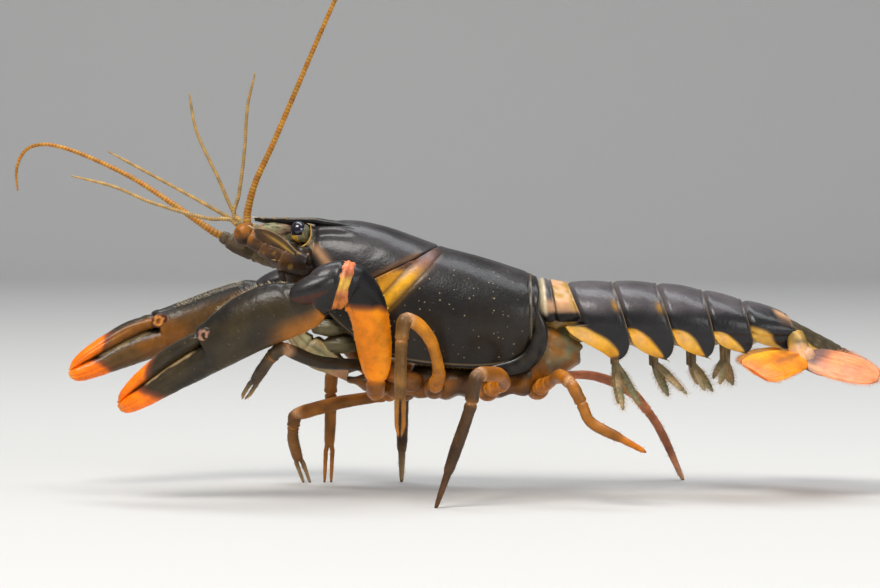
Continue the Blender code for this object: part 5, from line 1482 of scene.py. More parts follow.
def claw_fields(points, at, side):
    """For each point of a claw: the place along it, the height around it and how far it faces out."""
    angle = turns(points.shape[1])
    out = SIDES[side] * np.sign(claw_frame(side)[3][1])
    return [np.broadcast_to(field, points.shape[:2])
            for field in (at[:, None], np.sin(angle), np.cos(angle) * out)]


def claw_place(at, side):
    """Distance along a claw, with its fingers drawn in a little."""
    return at - (1.0 - FINGER_SHARE[side]) * np.maximum(at - HINGE, 0.0)


def claw_palm(side):
    """Palm and fixed finger in one shell, with teeth and tubercles."""
    frame = claw_frame(side)
    wrist, aim, up, across = frame
    sign = SIDES[side]
    piece = Piece("claw_palm_shell_" + side)
    at = np.concatenate([np.linspace(CLAW_REAR, HINGE, 92), np.linspace(HINGE + 0.04, HINGE + 0.5, 9),
                         np.linspace(HINGE + 0.62, CLAW_LENGTH - 0.25, 100)])
    palm_top, thumb_top = track(PALM_TOP[side])(at), track(THUMB_TOP)(at)
    step = step_between(HINGE, HINGE + 0.5, at)
    top = palm_top * (1.0 - step) + thumb_top * step
    low, thick = track(CLAW_LOW)(at), track(CLAW_THICK)(at)
    tip = step_between(CLAW_LENGTH - 1.6, CLAW_LENGTH + 0.1, at)
    thick = thick * (1.0 - 0.3 * tip)
    points = claw_rings(frame, claw_place(at, side), low, top, thick, 72, 2.15)
    place, high, outer = claw_fields(points, at, side)
    relief = 0.07 * grain(points, 0.4) + 0.035 * grain(points, 1.3)
    relief = (relief + 0.10 * hump(high, 0.93, 0.08) * (place < HINGE)
              + 0.18 * hump(place, HINGE - 0.6, 0.8) * step_between(0.3, 0.8, high))
    relief = relief - 0.14 * hump(place, 1.1, 0.45)
    relief = relief - 0.12 * hump(high, -0.15, 0.16) * step_between(HINGE + 2.0, HINGE + 6.0, place)
    piece.grid(points, claw_tint(points, place, high, outer), relief=relief, ends=(0.6, 0.2))
    teeth(piece, side, HINGE + 2.2, CLAW_LENGTH - 3.2, lambda t: along(THUMB_TOP, t), 5)
    for facing in (1.0, -1.0):
        outside = facing * across[1] * sign > 0
        spot = wrist + aim * (HINGE - (1.1 if outside else 0.1)) + up * 5.35 + across * facing * 2.6
        piece.ball(spot, HINGE_PAD, hinge_tint if outside else inner_hinge_tint, axes=(aim, across, up),
                   rows=40, cols=56, relief=hinge_relief)
    piece.finish(CLAW, "claw_shell", "claw_palm_" + side)


def hinge_place(shape):
    """Distance from the middle of a hinge pad, a little uneven."""
    return np.hypot(shape[..., 0] - 0.1, shape[..., 2]) + 0.34 * grain(shape, 1.9, 3.0)


def hinge_tint(shape):
    """Pinkish pad of a finger's hinge with a dark red pit."""
    far = hinge_place(shape)
    tints = blend(PINK * 0.55, SEPIA * 1.4, step_between(0.5, 0.85, far))
    tints = blend(tints, PEACH * 0.6, 0.5 * hump(far, 0.45, 0.08))
    return blend(tints, RUST * 0.3, falling(0.10, 0.34, far))


def inner_hinge_tint(shape):
    """Amber pad of a finger's hinge on the claw's inner face."""
    far = hinge_place(shape)
    tints = blend(AMBER * 1.1 + PEACH * 0.15, RUST * 0.5, step_between(0.55, 0.8, far))
    return blend(tints, RUST * 0.7, 0.7 * falling(0.10, 0.34, far))


def hinge_relief(shape):
    """Sunk middle and lumpy rim of a hinge pad."""
    far = hinge_place(shape)
    return 0.07 * grain(shape, 3.0) - 0.32 * hump(far, 0.0, 0.26) + 0.05 * hump(far, 0.5, 0.12)


def claw_tint(points, place, high, outer):
    """Colours of a claw: dark brown with an orange patch low at the rear, and orange tips."""
    tints = blend(SEPIA, OLIVE * 0.75 + SEPIA * 0.3, cloudy(points, 0.3, 1.3))
    tints = blend(tints, DARK, 0.7 * step_between(0.45, 0.9, high))
    inner = step_between(0.1, 0.8, -outer)
    rusty = blend(OLIVE * 1.1 + AMBER * 0.16, AMBER * 0.55, step_between(-0.2, 0.4, grain(points, 0.22, 6.0)))
    tints = blend(tints, rusty, 0.9 * inner * falling(0.35, 0.8, high))
    rear = falling(0.5, 7.0, place + 2.2 * high) * falling(-0.85, -0.2, high)
    tints = blend(tints, AMBER, 0.85 * rear)
    start = CLAW_LENGTH - 6.4
    edge = place + 0.9 * grain(points, 0.35) - 1.6 * high
    tints = blend(tints, RUST, 0.9 * step_between(start - 1.2, start + 0.5, edge))
    tints = blend(tints, FLAME * 0.55 + ORANGE * 0.45, step_between(start, start + 1.5, edge))
    tints = blend(tints, HONEY, 0.45 * step_between(CLAW_LENGTH - 1.2, CLAW_LENGTH, place))
    ridge = (step_between(HINGE + 1.5, HINGE + 3.0, place)
             * step_between(0.66, 0.84, high + 0.1 * grain(points, 0.9)))
    ridge = ridge * falling(start - 1.0, start + 0.5, place)
    return blend(tints, TAN * 1.2, 0.8 * ridge)


def teeth(piece, side, start, end, height, seed):
    """A row of blunt teeth along a cutting edge, a few of them larger."""
    wrist, aim, up, across = claw_frame(side)
    rng = random.Random(seed)
    at = start
    while at < end:
        big = 1.0 + 0.8 * (rng.random() > 0.8)
        size = (0.17 + 0.06 * rng.random()) * big
        spot = wrist + aim * claw_place(at, side) + up * height(at) + across * (0.12 * (rng.random() - 0.5))
        piece.ball(spot, (size * 1.1, size * 0.95, size * (0.95 + 0.2 * rng.random())),
                   TAN * (0.7 + 0.5 * rng.random()), axes=(aim, across, up), rows=8, cols=10)
        at += TOOTH_PITCH * (0.55 + 0.35 * rng.random()) * (0.8 + 0.2 * big)


def claw_finger(side):
    """The moving finger, hinged over the fixed one."""
    piece = Piece("claw_finger_shell_" + side)
    start, end = FINGER_TOP[0][0], FINGER_TOP[-1][0]
    at = np.linspace(start, end + 0.15, 110)
    low, top, thick = track(FINGER_LOW)(at), track(FINGER_TOP)(at), track(FINGER_THICK)(at)
    points = claw_rings(claw_frame(side), claw_place(at, side), low, top, thick, 56, 2.1)
    place, high, outer = claw_fields(points, at, side)
    relief = 0.05 * grain(points, 0.5) + 0.03 * grain(points, 1.5) + 0.12 * hump(place, start + 0.8, 0.7)
    relief = relief - 0.12 * hump(high, 0.25, 0.14) * step_between(start + 3.0, start + 6.0, place)
    tints = blend(SEPIA, OLIVE * 0.7 + DARK * 0.4, cloudy(points, 0.3, 1.3))
    inner = step_between(0.1, 0.8, -outer)
    tints = blend(tints, AMBER * 0.7, 0.8 * inner * falling(0.3, 0.9, high))
    orange_from = start + 9.6
    edge = place + 0.8 * grain(points, 0.35) + 1.2 * high
    tints = blend(tints, RUST, 0.9 * step_between(orange_from - 1.4, orange_from + 0.4, edge))
    tints = blend(tints, FLAME * 0.5 + ORANGE * 0.5, step_between(orange_from, orange_from + 1.8, edge))
    lower = step_between(0.45, 0.9, -high) * falling(end - 3.0, end - 1.0, place)
    tints = blend(tints, OLIVE * 0.9, 0.85 * lower)
    tints = blend(tints, HONEY, 0.45 * step_between(end - 1.0, end, place))
    piece.grid(points, tints, relief=relief, ends=(0.6, 0.1))
    teeth(piece, side, start + 2.6, end - 3.4, lambda t: along(FINGER_LOW, t) + 0.05, 9)
    piece.finish(CLAW, "claw_shell", "claw_finger_" + side)


# Abdomen

TAIL_TOP = track(ABDOMEN_TOP)
TAIL_HALF = track(ABDOMEN_HALF)
TAIL_BELLY = track(ABDOMEN_BELLY)
LOBE_EDGES = []


def joint_x(joint, z):
    """Place along X of the leaning joint plane between two abdomen rings, at a height."""
    x = ABDOMEN_JOINTS[joint]
    return x + ABDOMEN_LEANS[joint] * (along(ABDOMEN_TOP, x) - z)


def abdomen_ring(index):
    """One back plate that runs down into a side lobe on each flank, as a single thin plate."""
    piece = Piece("abdomen_plate_{}".format(index + 1))
    low = PLEURON_LOW[index]
    arch, flank, lobe = 34, 12, 22 if index else 2
    rows = 44
    turn = np.linspace(0.0, 0.5 * math.pi, arch + 1)
    middle = 0.5 * (ABDOMEN_JOINTS[index] + ABDOMEN_JOINTS[index + 1])
    top, half = along(ABDOMEN_TOP, middle), along(ABDOMEN_HALF, middle)
    belly = along(ABDOMEN_BELLY, middle) if index else FIRST_RING_LOW
    wide = belly + (top - belly) * 0.38
    root = min(PLEURON_ROOT, wide - 0.2) if index else FIRST_RING_LOW + 0.1
    right = [(half * math.sin(a) ** 0.92, wide + (top - wide) * max(math.cos(a), 0.0) ** 0.92) for a in turn]
    for s in np.linspace(0.0, 1.0, flank + 1)[1:]:
        z = wide - (wide - root) * s
        drop = (wide - z) / (wide - belly)
        right.append((half * (1.0 - 0.14 * drop * drop), z))
    edge_y = right[-1][0]
    for s in np.linspace(0.0, 1.0, lobe + 1)[1:]:
        right.append((edge_y - (0.55 if index else 0.1) * s - 0.25 * s * s * (index > 0),
                      root - (root - low) * s))
    section = np.array([(-y, z) for y, z in reversed(right[1:])] + right)
    z = section[:, 1]
    front, rear = plate_edges(index, z, low, root)
    share = np.linspace(0.0, 1.0, rows)[:, None]
    share = share + 0.05 * np.sin(2.0 * math.pi * share)
    x = front + (rear - front) * share
    grow_y = TAIL_HALF(x) / half
    back = np.clip((z - root) / (top - root), 0.0, 1.0)
    height = z + (TAIL_TOP(x) - top) * back
    points = np.stack([x, section[:, 0] * grow_y, height], axis=-1)
    fall = np.broadcast_to(np.clip((root - z) / max(root - low, 0.1), 0.0, 1.0), x.shape)
    spread = np.broadcast_to(share, x.shape)
    relief = 0.05 * grain(points, 0.4, index * 3.1) + 0.02 * grain(points, 1.5)
    relief = relief + 0.12 * hump(spread, 0.985, 0.02) - 0.07 * hump(spread, 0.94, 0.02)
    relief = relief + 0.25 * np.sin(math.pi * spread) * falling(0.0, 0.3, fall)
    relief = relief - PLATE_THICK * 1.3 * falling(0.02, 0.22, spread) * falling(0.0, 0.35, fall)
    if index == 0:
        relief = relief - 0.28 * hump(spread, 0.42, 0.05) + 0.18 * hump(spread, 0.2, 0.12)
    relief = (relief + 0.22 * hump(fall, 0.55, 0.3) * np.sin(math.pi * spread)
              - 0.10 * hump(fall, 0.02, 0.05) * (index > 0))
    normal = outward(points, False)
    outer = points + normal * relief[..., None]
    thick = PLATE_THICK * np.clip(1.1 - 0.5 * fall, 0.4, 1.0)
    inner = points + normal * (np.minimum(relief, 0.0) - thick)[..., None]
    tints = plate_tint(index, points, spread, fall)
    if index:
        rim = [(outer[-1, :10], (1.0, 0.0, -0.8)), (outer[::-1, 0], (0.2, 0.0, -1.0))]
        rim += [(outer[-1, -10:], (1.0, 0.0, -0.8)), (outer[:, -1], (0.2, 0.0, -1.0))]
        LOBE_EDGES.extend(rim)
    piece.plate(outer, inner, tints, TAN * 0.7)
    piece.finish(SHELL, "dark_shell", "abdomen_{}".format(index + 1))


def plate_edges(index, z, low, root):
    """Front and rear edge of a plate along X at each height, drawn in to a rounded lobe below."""
    hung = np.maximum(z, root - 1.8)
    front = np.array([joint_x(index, height) for height in hung]) - 0.75
    rear = np.array([joint_x(index + 1, height) for height in hung]) + 0.05
    if index == 0:
        return front, rear
    fall = np.clip((root - z) / (root - low), 0.0, 1.0)
    width = rear - front
    front = front + 0.7 * step_between(0.0, 0.2, fall)
    if index == 1:
        lobe = np.array([along(FIRST_LOBE_FRONT, height) for height in z])
        front = front + (lobe - front) * step_between(0.0, 0.05, fall)
    else:
        front = front + width * (0.74 * fall ** 3.8 + 0.05 * fall)
    if index == 5:
        rear = rear + 1.15 * step_between(24.0, 27.0, z)
    rear = rear - width * 0.20 * fall ** 6.0
    return front, np.maximum(rear, front + 0.12)


def plate_tint(index, points, spread, fall):
    """Colours of an abdomen plate."""
    z, y = points[..., 2], abs(points[..., 1])
    cloud = grain(points, 0.25, 5.0 * index)
    tints = blend(MAUVE * 1.4, MAUVE * 2.2, np.clip(0.5 + 1.2 * cloud, 0.0, 1.0))
    tints = blend(tints, BLACK * 1.2, 0.92 * falling(28.6, 30.4, z + 0.5 * cloud))
    if index == 0:
        warm = blend(PEACH * 1.1, HONEY * 0.6 + BROWN * 0.4, cloudy(points, 0.6, 1.8, 0.4, shift=2.0))
        tints = blend(tints, warm,
                      0.9 * step_between(0.44, 0.50, spread) * step_between(29.0, 31.0, z + 0.8 * cloud))
        tints = blend(tints, PEACH * 0.8, 0.75 * falling(30.5, 32.0, z) * step_between(29.0, 30.0, z))
        tints = blend(tints, HONEY * 0.6, 0.7 * step_between(0.80, 0.9, spread) * step_between(29.0, 30.0, z))
        tints = blend(tints, OLIVE * 1.2, 0.85 * hump(spread, 0.47, 0.025))
        tints = blend(tints, CREAM * 0.9, 0.9 * falling(0.22, 0.30, spread) * step_between(28.6, 29.6, z))
        tints = blend(tints, BLACK, 0.95 * falling(29.0, 29.5, z) * step_between(0.3, 0.4, spread))
    elif index < 5:
        reach = 0.14 + (0.62 if index == 1 else 0.55) * np.sqrt(fall)
        lit = falling(reach - 0.10, reach + 0.05, spread + 0.07 * cloud)
        lit = (lit * step_between(0.02, 0.10, fall)
               * (1.0 - 0.85 * step_between(0.90, 0.99, fall + 0.1 * spread)))
        gold = blend(HONEY, GOLD, np.clip(0.55 + 1.3 * cloud + 0.4 * fall, 0.0, 1.0))
        gold = blend(gold, AMBER, 0.55 * step_between(0.55, 0.95, fall))
        gold = blend(gold, PEACH, 0.5 * hump(fall, 0.35, 0.2) * hump(spread, 0.2, 0.15))
        tints = blend(tints, gold, 0.97 * lit)
        tints = blend(tints, GOLD * 0.45,
                      0.8 * hump(z, 30.9 - 0.4 * index, 0.8) * hump(spread, 0.88, 0.06) * (index < 3))
    else:
        lit = falling(0.36, 0.50, spread + 0.07 * cloud) * falling(27.0, 27.8, z + 3.0 * spread)
        tints = blend(tints, HONEY * 0.75, 0.95 * lit * falling(0.85, 0.97, fall))
        tints = blend(tints, PEACH * 0.9, 0.9 * step_between(0.62, 0.76, spread) * hump(y, 3.4, 1.5)
                      * step_between(26.5, 27.4, z))
    bead = hump(spread, 0.99, 0.012) * step_between(0.0, 0.6, z - 24.5)
    tints = blend(tints, TAN * 0.75, 0.8 * bead)
    return blend(tints, BLACK * 0.8, 0.7 * hump(spread, 0.95, 0.015) * step_between(0.0, 0.6, z - 27.0))


def belly():
    """Soft ribbed skin that closes the abdomen from below."""
    piece = Piece("abdomen_belly")
    x = np.linspace(15.2, 57.8, 210)
    half = TAIL_HALF(x) - 1.5
    low = np.where(x < 21.0, 26.0, TAIL_BELLY(x)) + 0.2
    top = TAIL_TOP(x) - 2.0
    path = np.stack([x, np.zeros_like(x), 0.5 * (low + top)], axis=-1)
    aims = np.tile((1.0, 0.0, 0.0), (len(x), 1))
    points = tube(path, aims, (0, 1, 0), half, 0.5 * (top - low), 48, 2.8)
    ribs = np.sin(points[..., 0] * 2.0 * math.pi / 3.6)
    tints = blend(HONEY * 0.5, TAN * 0.7, cloudy(points, 0.5, 1.2))
    piece.grid(points, tints, relief=0.25 * ribs + 0.15 * grain(points, 0.8), ends=(0.6, 0.6))
    piece.finish(SKIN, "soft_tan")


def telson():
    """Middle plate of the tail fan: scaly in front, soft and ribbed behind, spined at its sides."""
    root, tip = np.array(TELSON_ROOT), np.array(TELSON_TIP)
    piece = Piece("telson_plate")
    half, thick = track(TELSON_HALF), track(TELSON_THICK)
    points, spread, edge = leaf(root, tip, np.array((0.0, 1.0, 0.0)), half, thick, 110, 88, 0.12)
    points[..., 2] -= telson_droop(spread, edge)
    scaly = falling(0.55, 0.68, spread)
    cells = scale_field(points, 1.15)
    relief = 0.16 * cells * scaly * step_between(0.06, 0.14, spread) + 0.05 * grain(points, 0.7)
    relief = relief + 0.06 * np.cos(edge * 26.0) * step_between(0.60, 0.75, spread)
    relief = relief - 0.16 * hump(spread, 0.60, 0.012) + 0.14 * hump(abs(edge), 0.86, 0.07) * scaly
    tints = blend(OLIVE * 0.75, OLIVE * 1.5 + DARK * 0.2, np.clip(0.35 + 1.2 * cells, 0, 1))
    tints = blend(tints, HONEY * 0.9,
                  0.8 * step_between(0.90, 0.985, abs(edge)) * step_between(0.1, 0.25, spread))
    tints = blend(tints, SALMON * 0.9 + ORANGE * 0.15,
                  step_between(0.58, 0.80, spread + 0.04 * grain(points, 0.6)))
    piece.grid(points, tints, relief=relief, ends=(0.3, 0.15))
    for sign in SIDES.values():
        for share, size in ((0.585, 0.34), (0.61, 0.26)):
            drop = telson_droop(share, 1.0)
            spot = root + (tip - root) * share + np.array((0.0, sign * (float(half(share)) - 0.15), -drop))
            piece.spine(spot, spot + np.array((1.15, sign * 0.35, -0.42)), size, OLIVE, CREAM)
    piece.finish(SHELL, "tail_fin", "telson")


def telson_droop(spread, edge):
    """How far the telson's sides hang below its middle line."""
    return (TELSON_ARCH * edge ** 2 * step_between(0.02, 0.3, spread)
            * (1.0 - 0.7 * step_between(0.6, 1.0, spread)))


def scale_field(points, pitch):
    """Small overlapping scales: high at their middle and low at their edges."""
    flat = (points.reshape(-1, 3) / pitch).tolist()
    value = np.array([noise.voronoi(place)[0][0] for place in flat])
    return (0.55 - value).clip(-0.4, 0.55).reshape(points.shape[:-1])


def uropod(side):
    """One side of the tail fan: a bulb-like root with an outer and an inner blade."""
    sign = SIDES[side]
    piece = Piece("uropod_blades_" + side)
    root, elbow = on_side(UROPOD_ROOT, side), on_side(UROPOD_ELBOW, side)
    aim = unit(elbow - root)
    path = spline([root, 0.5 * (root + elbow) + np.array((0.0, 0.0, 0.25)), elbow + aim * 0.9], 30)
    share = np.linspace(0.0, 1.0, 30)
    wide = 1.35 + 0.35 * np.sin(math.pi * share)
    deep = 1.2 + 0.45 * np.sin(math.pi * share)
    points = tube(path, directions(path), (1, 0, 0), wide, deep, 40)
    tints = blend(HONEY * 0.8, OLIVE * 1.8, cloudy(points, 0.5, 1.4))
    tints = blend(tints, PEACH * 0.9, 0.8 * step_between(0.4, 0.6, rowwise(share, points)))
    piece.grid(points, tints, relief=0.12 * grain(points, 0.6), ends=(0.2, 0.5))
    piece.ball(on_side(KNOB_PLACE, side), KNOB_RADII, PEACH * 0.75 + MAUVE * 1.5, rows=30, cols=36,
               relief=bumps(0.08, 2.0))
    thick = track(FIN_THICK)

    outer_tip = on_side(EXOPOD_TIP[side], side)
    half = track(EXOPOD_HALF)
    across = on_side(EXOPOD_ACROSS, side)
    points, spread, edge = leaf(elbow - aim * 0.3, outer_tip, across, half, thick, 100, 80, 0.4,
                                EXOPOD_ARCH * sign)
    relief = 0.05 * np.cos(edge * 30.0) * step_between(0.2, 0.5, spread) + 0.04 * grain(points, 0.8)
    relief = relief - 0.14 * hump(spread, 0.70, 0.010) + 0.10 * hump(spread, 0.685, 0.014)
    tints = blend(ORANGE * 0.95, AMBER, cloudy(points, 0.35, 1.2, 0.35) * 0.8)
    tints = blend(tints, GOLD, 0.8 * step_between(0.45, 0.9, -edge) * step_between(0.1, 0.3, spread))
    tints = blend(tints, BROWN * 1.4, 0.55 * hump(edge, 0.05, 0.22) * falling(0.55, 0.75, spread))
    tints = blend(tints, FLAME * 0.8 + SALMON * 0.2, 0.6 * step_between(0.78, 1.0, spread))
    piece.grid(points, tints, relief=relief, ends=(0.2, 0.12))
    for step in range(11):
        place = -0.85 + 0.17 * step
        spot = leaf_spot(elbow - aim * 0.3, outer_tip, across, half, 0.70, place, EXOPOD_ARCH * sign)
        piece.spine(spot, spot + unit(outer_tip - elbow) * 0.7, 0.16, AMBER, CREAM, cols=6, rows=5)

    inner_tip = on_side(ENDOPOD_TIP, side)
    half = track(ENDOPOD_HALF)
    across = on_side(ENDOPOD_ACROSS, side)
    points, spread, edge = leaf(elbow - aim * 0.3, inner_tip, across, half, thick, 90, 80, 0.45,
                                ENDOPOD_ARCH * sign)
    relief = 0.05 * np.cos(edge * 28.0) * step_between(0.3, 0.6, spread) + 0.04 * grain(points, 0.8)
    tints = blend(SALMON, SALMON * 0.7 + ORANGE * 0.25, cloudy(points, 0.4, 1.2))
    tints = blend(tints, MAUVE * 1.6, 0.85 * falling(0.18, 0.42, spread + 0.06 * edge))
    tints = blend(tints, PEACH, 0.7 * hump(edge, 0.75, 0.2) * falling(0.3, 0.6, spread))
    piece.grid(points, tints, relief=relief, ends=(0.2, 0.12))
    piece.finish(FIN, "tail_fin", "uropod_" + side)


def leaf_spot(root, tip, across, half, share, edge, arch=0.0):
    """A place on a leaf's middle surface."""
    aim = unit(tip - root)
    across = square_to(across, aim)
    up = np.cross(aim, across)
    bow = up * (arch * 4.0 * share * (1.0 - share))
    return root + (tip - root) * share + bow + across * float(half(share)) * edge


def swimmeret(number, side):
    """One swimmeret: a jointed stalk with two soft, pointed blades."""
    x, outer_tip, inner_tip = SWIMMERETS[number]
    piece = Piece("swimmeret_skin_{}_{}".format(side, number))
    top = on_side((x, SWIMMERET_Y, along(ABDOMEN_BELLY, x) + 0.1), side)
    end = top - np.array((0.0, 0.0, SWIMMERET_STALK + 0.3))
    path = spline([top, 0.5 * (top + end), end - np.array((0.0, 0.0, 0.5))], 20)
    sizes = 0.62 - 0.12 * np.linspace(0.0, 1.0, 20)
    points = tube(path, directions(path), (1, 0, 0), sizes, sizes, 20)
    piece.grid(points, blend(TAN * 0.6, OLIVE * 2.0, cloudy(points, 0.7)), relief=0.05 * grain(points, 0.9),
               ends=(0.0, 0.3))
    half, thick = track(SWIMMERET_HALF), track([(0.0, 0.42), (1.0, 0.2)])
    for tip in (outer_tip, inner_tip):
        across = np.array(SWIMMERET_ACROSS)
        points, spread, edge = leaf(end + np.array((0.0, 0.0, 0.2)), on_side(tip, side), across, half, thick,
                                    44, 28, 0.25)
        relief = 0.05 * np.cos(spread * 60.0) * step_between(0.3, 0.5, spread)
        tints = blend(GREENISH * 0.8, TAN * 0.7, cloudy(points, 0.6, 1.3))
        tints = blend(tints, CREAM * 0.5, 0.5 * step_between(0.8, 0.98, abs(edge)))
        piece.grid(points, tints, relief=relief)
    piece.finish(SKIN, "soft_tan", "swimmeret_{}_{}".format(side, number))


# Hair fringes

def blade_rim(root, tip, across, half, arch, start, lean=0.6):
    """Points around a leaf's free edge, with the directions that its hairs grow in."""
    places = [(s, 1.0) for s in np.linspace(start, 1.0, 30)]
    places += [(1.0, e) for e in np.linspace(0.95, -0.95, 30)]
    places += [(s, -1.0) for s in np.linspace(1.0, start, 30)]
    aim = unit(tip - root)
    flat = square_to(across, aim)
    spots = np.array([leaf_spot(root, tip, across, half, s, e, arch) for s, e in places])
    grow = np.array([aim * (lean if abs(e) == 1.0 and s < 1.0 else 1.2) + flat * e for s, e in places])
    return spots, grow


def tail_fringes():
    """Fine hairs around the free edges of the tail fan."""
    fringe = Fringe("tail_hairs")
    root, tip = np.array(TELSON_ROOT), np.array(TELSON_TIP)
    half = track(TELSON_HALF)
    spots, grow = blade_rim(root, tip, np.array((0.0, 1.0, 0.0)), half, 0.0, 0.62)
    share = (spots - root) @ (tip - root) / ((tip - root) @ (tip - root))
    spots[:, 2] -= telson_droop(share, spots[:, 1] / half(share))
    fringe.strip(spots, grow, 1.1, 0.07, 0.028, SALMON, PEACH, seed=3)
    for side, sign in SIDES.items():
        lead = unit(on_side(UROPOD_ELBOW, side) - on_side(UROPOD_ROOT, side))
        start = on_side(UROPOD_ELBOW, side) - lead * 0.3
        across = on_side(EXOPOD_ACROSS, side)
        spots, grow = blade_rim(start, on_side(EXOPOD_TIP[side], side), across, track(EXOPOD_HALF),
                                EXOPOD_ARCH * sign, 0.35)
        fringe.strip(spots, grow, 0.8, 0.07, 0.026, AMBER * 1.3, PEACH, seed=4)
        across = on_side(ENDOPOD_ACROSS, side)
        spots, grow = blade_rim(start, on_side(ENDOPOD_TIP, side), across, track(ENDOPOD_HALF),
                                ENDOPOD_ARCH * sign, 0.4)
        fringe.strip(spots, grow, 0.8, 0.07, 0.026, SALMON, PEACH, seed=5)
    fringe.finish("tail_fin")


def belly_fringes():
    """Hairs on the swimmerets and along the side lobes of the abdomen."""
    fringe = Fringe("belly_hairs")
    for number, (x, outer_tip, inner_tip) in SWIMMERETS.items():
        for side in SIDES:
            top = on_side((x, SWIMMERET_Y, along(ABDOMEN_BELLY, x) - SWIMMERET_STALK), side)
            for tip in (outer_tip, inner_tip):
                across = np.array(SWIMMERET_ACROSS)
                spots, grow = blade_rim(top, on_side(tip, side), across, track(SWIMMERET_HALF), 0.0, 0.25,
                                        0.9)
                fringe.strip(spots, grow, 0.95, 0.12, 0.022, TAN, HONEY, seed=number)
    for spots, grow in LOBE_EDGES:
        fringe.strip(spots, grow, 0.5, 0.16, 0.02, TAN * 0.8, HONEY, seed=8)
    fringe.finish("soft_tan")


def limb_fringes():
    """Hairs on jaw legs, claws, walking legs, antennal scales and the shell's edges."""
    fringe = Fringe("limb_hairs")
    rng = np.random.default_rng(21)
    for side, sign in SIDES.items():
        path = spline([on_side(place, side) for place in JAW_LEG], 60)
        for shift, reach in ((0.45, 1.7), (-0.45, 1.2)):
            spots = path[8:56] + np.array((-0.75, sign * shift, -0.35))
            fringe.strip(spots, (-0.8, 0.5 * sign * shift, -0.45), reach, 0.09, 0.024, BROWN * 1.2, HONEY,
                         seed=2, splay=0.35)
        root, tip = on_side(SCALE_ROOT, side), on_side(SCALE_TIP, side)
        across = on_side(SCALE_ACROSS, side)
        spots = np.array([leaf_spot(root, tip, across, track(SCALE_HALF), s, 1.0)
                          for s in np.linspace(0.25, 0.98, 20)])
        fringe.strip(spots, across + unit(tip - root) * 0.8, 0.8, 0.09, 0.02, TAN, CREAM * 0.8, seed=6)
        wrist, aim, up, across = claw_frame(side)
        inner = across * (1.0 if across[1] * sign < 0 else -1.0)
        top = track(PALM_TOP[side])
        for place in np.linspace(0.8, 12.5, 24):
            spot = wrist + aim * place + up * (float(top(place)) - 0.55) + inner * 1.9
            tuft = spot + rng.normal(0.0, 0.22, (9, 3))
            grow = unit(up + aim * 0.5 + inner * 0.4 + rng.normal(0.0, 0.22, (9, 3)))
            ends = spot + (tuft - spot) + grow * (0.9 + 0.5 * rng.random((9, 1)))
            fringe.hairs(spot + (tuft - spot) * 0.4, ends, 0.0, 0.022, CREAM * 0.9, CREAM * 1.25)
    groove = np.array([(x, GROOVE_Z + GROOVE_LEAN * (x - GROOVE_X) - 0.25)
                       for x in np.linspace(-9.6, -3.4, 30)])
    for sign in SIDES.values():
        y = np.array([HALF(x) * 0.995 for x in groove[:, 0]])
        spots = np.stack([groove[:, 0], sign * y, groove[:, 1]], axis=-1)
        fringe.strip(spots, (0.35, 0.12 * sign, -0.8), 0.7, 0.07, 0.022, RUST, AMBER, seed=7)
        x = np.linspace(-10.0, 15.0, 120)
        spots = np.stack([x, sign * HALF(x) * (CARAPACE_TUCK - 0.015), BOTTOM(x) + 0.05], axis=-1)
        fringe.strip(spots, (0.25, 0.0, -1.0), 0.5, 0.13, 0.02, TAN * 0.8, HONEY, seed=9)
    for fine, aims, split in LIMB_PATHS.values():
        rows = rng.integers(12, len(fine) - 6, 150)
        out = unit(rng.normal(0.0, 1.0, (150, 3)))
        out = unit(out - aims[rows] * (out * aims[rows]).sum(axis=1, keepdims=True))
        size = np.where(rows < split, 0.78, 0.42)[:, None]
        spots = fine[rows] + out * size
        tips = spots + unit(out + aims[rows] * 0.9) * (0.35 + 0.35 * rng.random((150, 1)))
        fringe.hairs(spots, tips, 0.0, 0.02, BROWN, TAN)
    fringe.finish("soft_tan")


# Stage

def softbox(name, place, size, power, tint):
    """A large soft lamp aimed at the model."""
    data = bpy.data.lights.new(name, "AREA")
    data.shape = "RECTANGLE"
    data.size, data.size_y = size
    data.energy = power
    data.color = tint
    lamp = linked(name, data)
    lamp.location = place
    lamp.rotation_euler = (Vector(LAMP_AIM) - Vector(place)).to_track_quat("-Z", "Y").to_euler()


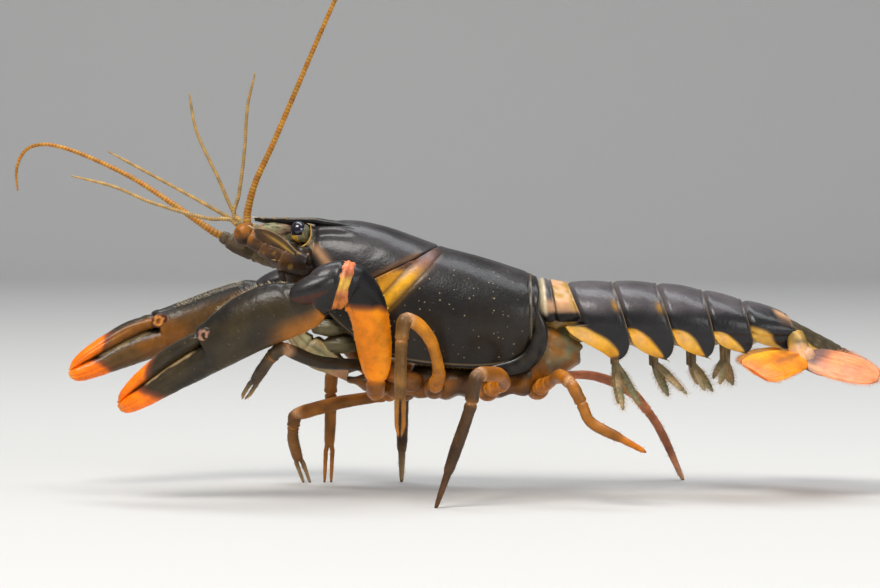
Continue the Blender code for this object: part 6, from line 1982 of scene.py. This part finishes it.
def stage():
    """Pale floor that curves up behind, soft lamps and the camera."""
    rows = [(FLOOR_FRONT, 0.0), (FLOOR_REAR, 0.0)]
    rows += [(FLOOR_REAR + FLOOR_CURVE * math.sin(a), FLOOR_CURVE - FLOOR_CURVE * math.cos(a))
             for a in np.linspace(0.0, 0.5 * math.pi, 14)[1:]]
    rows.append((FLOOR_REAR + FLOOR_CURVE, WALL_TOP))
    points = [(x, y, z) for y, z in rows for x in (-FLOOR_HALF, FLOOR_HALF)]
    mesh = bpy.data.meshes.new("floor")
    mesh.from_pydata(points, [], [(2 * i, 2 * i + 1, 2 * i + 3, 2 * i + 2) for i in range(len(rows) - 1)])
    mesh.shade_smooth()
    floor = linked("floor", mesh)
    paint = bpy.data.materials.new("floor_paint")
    paint.use_nodes = True
    shader = paint.node_tree.nodes["Principled BSDF"]
    shader.inputs["Base Color"].default_value = FLOOR_TINT
    shader.inputs["Roughness"].default_value = 0.8
    mesh.materials.append(paint)

    world = bpy.data.worlds.new("studio")
    world.use_nodes = True
    world.node_tree.nodes["Background"].inputs["Color"].default_value = SKY_TINT
    world.node_tree.nodes["Background"].inputs["Strength"].default_value = SKY_POWER
    bpy.context.scene.world = world
    bpy.context.scene.view_settings.view_transform = "Standard"
    for lamp in LAMPS:
        softbox(*lamp)

    data = bpy.data.cameras.new("camera")
    camera = linked("camera", data)
    away = Vector((0.0, -math.cos(VIEW_RISE), math.sin(VIEW_RISE)))
    camera.location = Vector(VIEW_TARGET) + away * VIEW_REACH
    camera.rotation_euler = (0.5 * math.pi - VIEW_RISE, 0.0, 0.0)
    data.sensor_width = SENSOR_WIDTH
    data.lens = SENSOR_WIDTH * VIEW_REACH / VIEW_WIDTH
    data.clip_start = 0.01
    bpy.context.scene.camera = camera


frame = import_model()
thorax_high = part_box("thorax")[1]
eye_low, eye_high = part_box("eye_left")
far_low, far_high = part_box("eye_right")
PLACE = np.array((thorax_high.x / MM - CARAPACE_REAR,
                  0.25 * (eye_low.y + eye_high.y + far_low.y + far_high.y) / MM, -FLOOR))

SHELL = material("shell", rough=0.34, coat=0.2, mottle=0.22, bump=0.5)
SHELL_FLECKED = material("shell_flecked", rough=0.36, coat=0.12, mottle=0.22, fleck=0.75, bump=0.5)
CLAW = material("claw_shell", rough=0.38, coat=0.15, mottle=0.25, fleck=0.25, bump=0.6)
LIMB = material("limb_shell", rough=0.38, coat=0.10, mottle=0.25, bump=0.6, soft=0.04)
SKIN = material("soft_skin", rough=0.42, coat=0.15, mottle=0.35, bump=0.6, soft=0.1)
FIN = material("fin", rough=0.40, coat=0.15, mottle=0.3, bump=0.5, soft=0.08)
WHIP = material("whip", rough=0.45, coat=0.05, mottle=0.3, bump=0.3, soft=0.03)
EYE = material("eyeball", rough=0.08, coat=1.0, mottle=0.1, bump=0.12, fine=2.5)
HAIR = material("hair", rough=0.5, coat=0.0, mottle=0.3, bump=0.0)

head()
thorax()
shell_border()
underside()
mouth()
belly()
telson()
for index in range(6):
    abdomen_ring(index)
for side in SIDES:
    eye(side)
    antennule(side)
    antenna(side)
    jaw_leg(side)
    claw_arm(side)
    claw_palm(side)
    claw_finger(side)
    uropod(side)
    for ring in SWIMMERETS:
        swimmeret(ring, side)
for spec in LEGS:
    leg(spec)
tail_fringes()
belly_fringes()
limb_fringes()
stage()
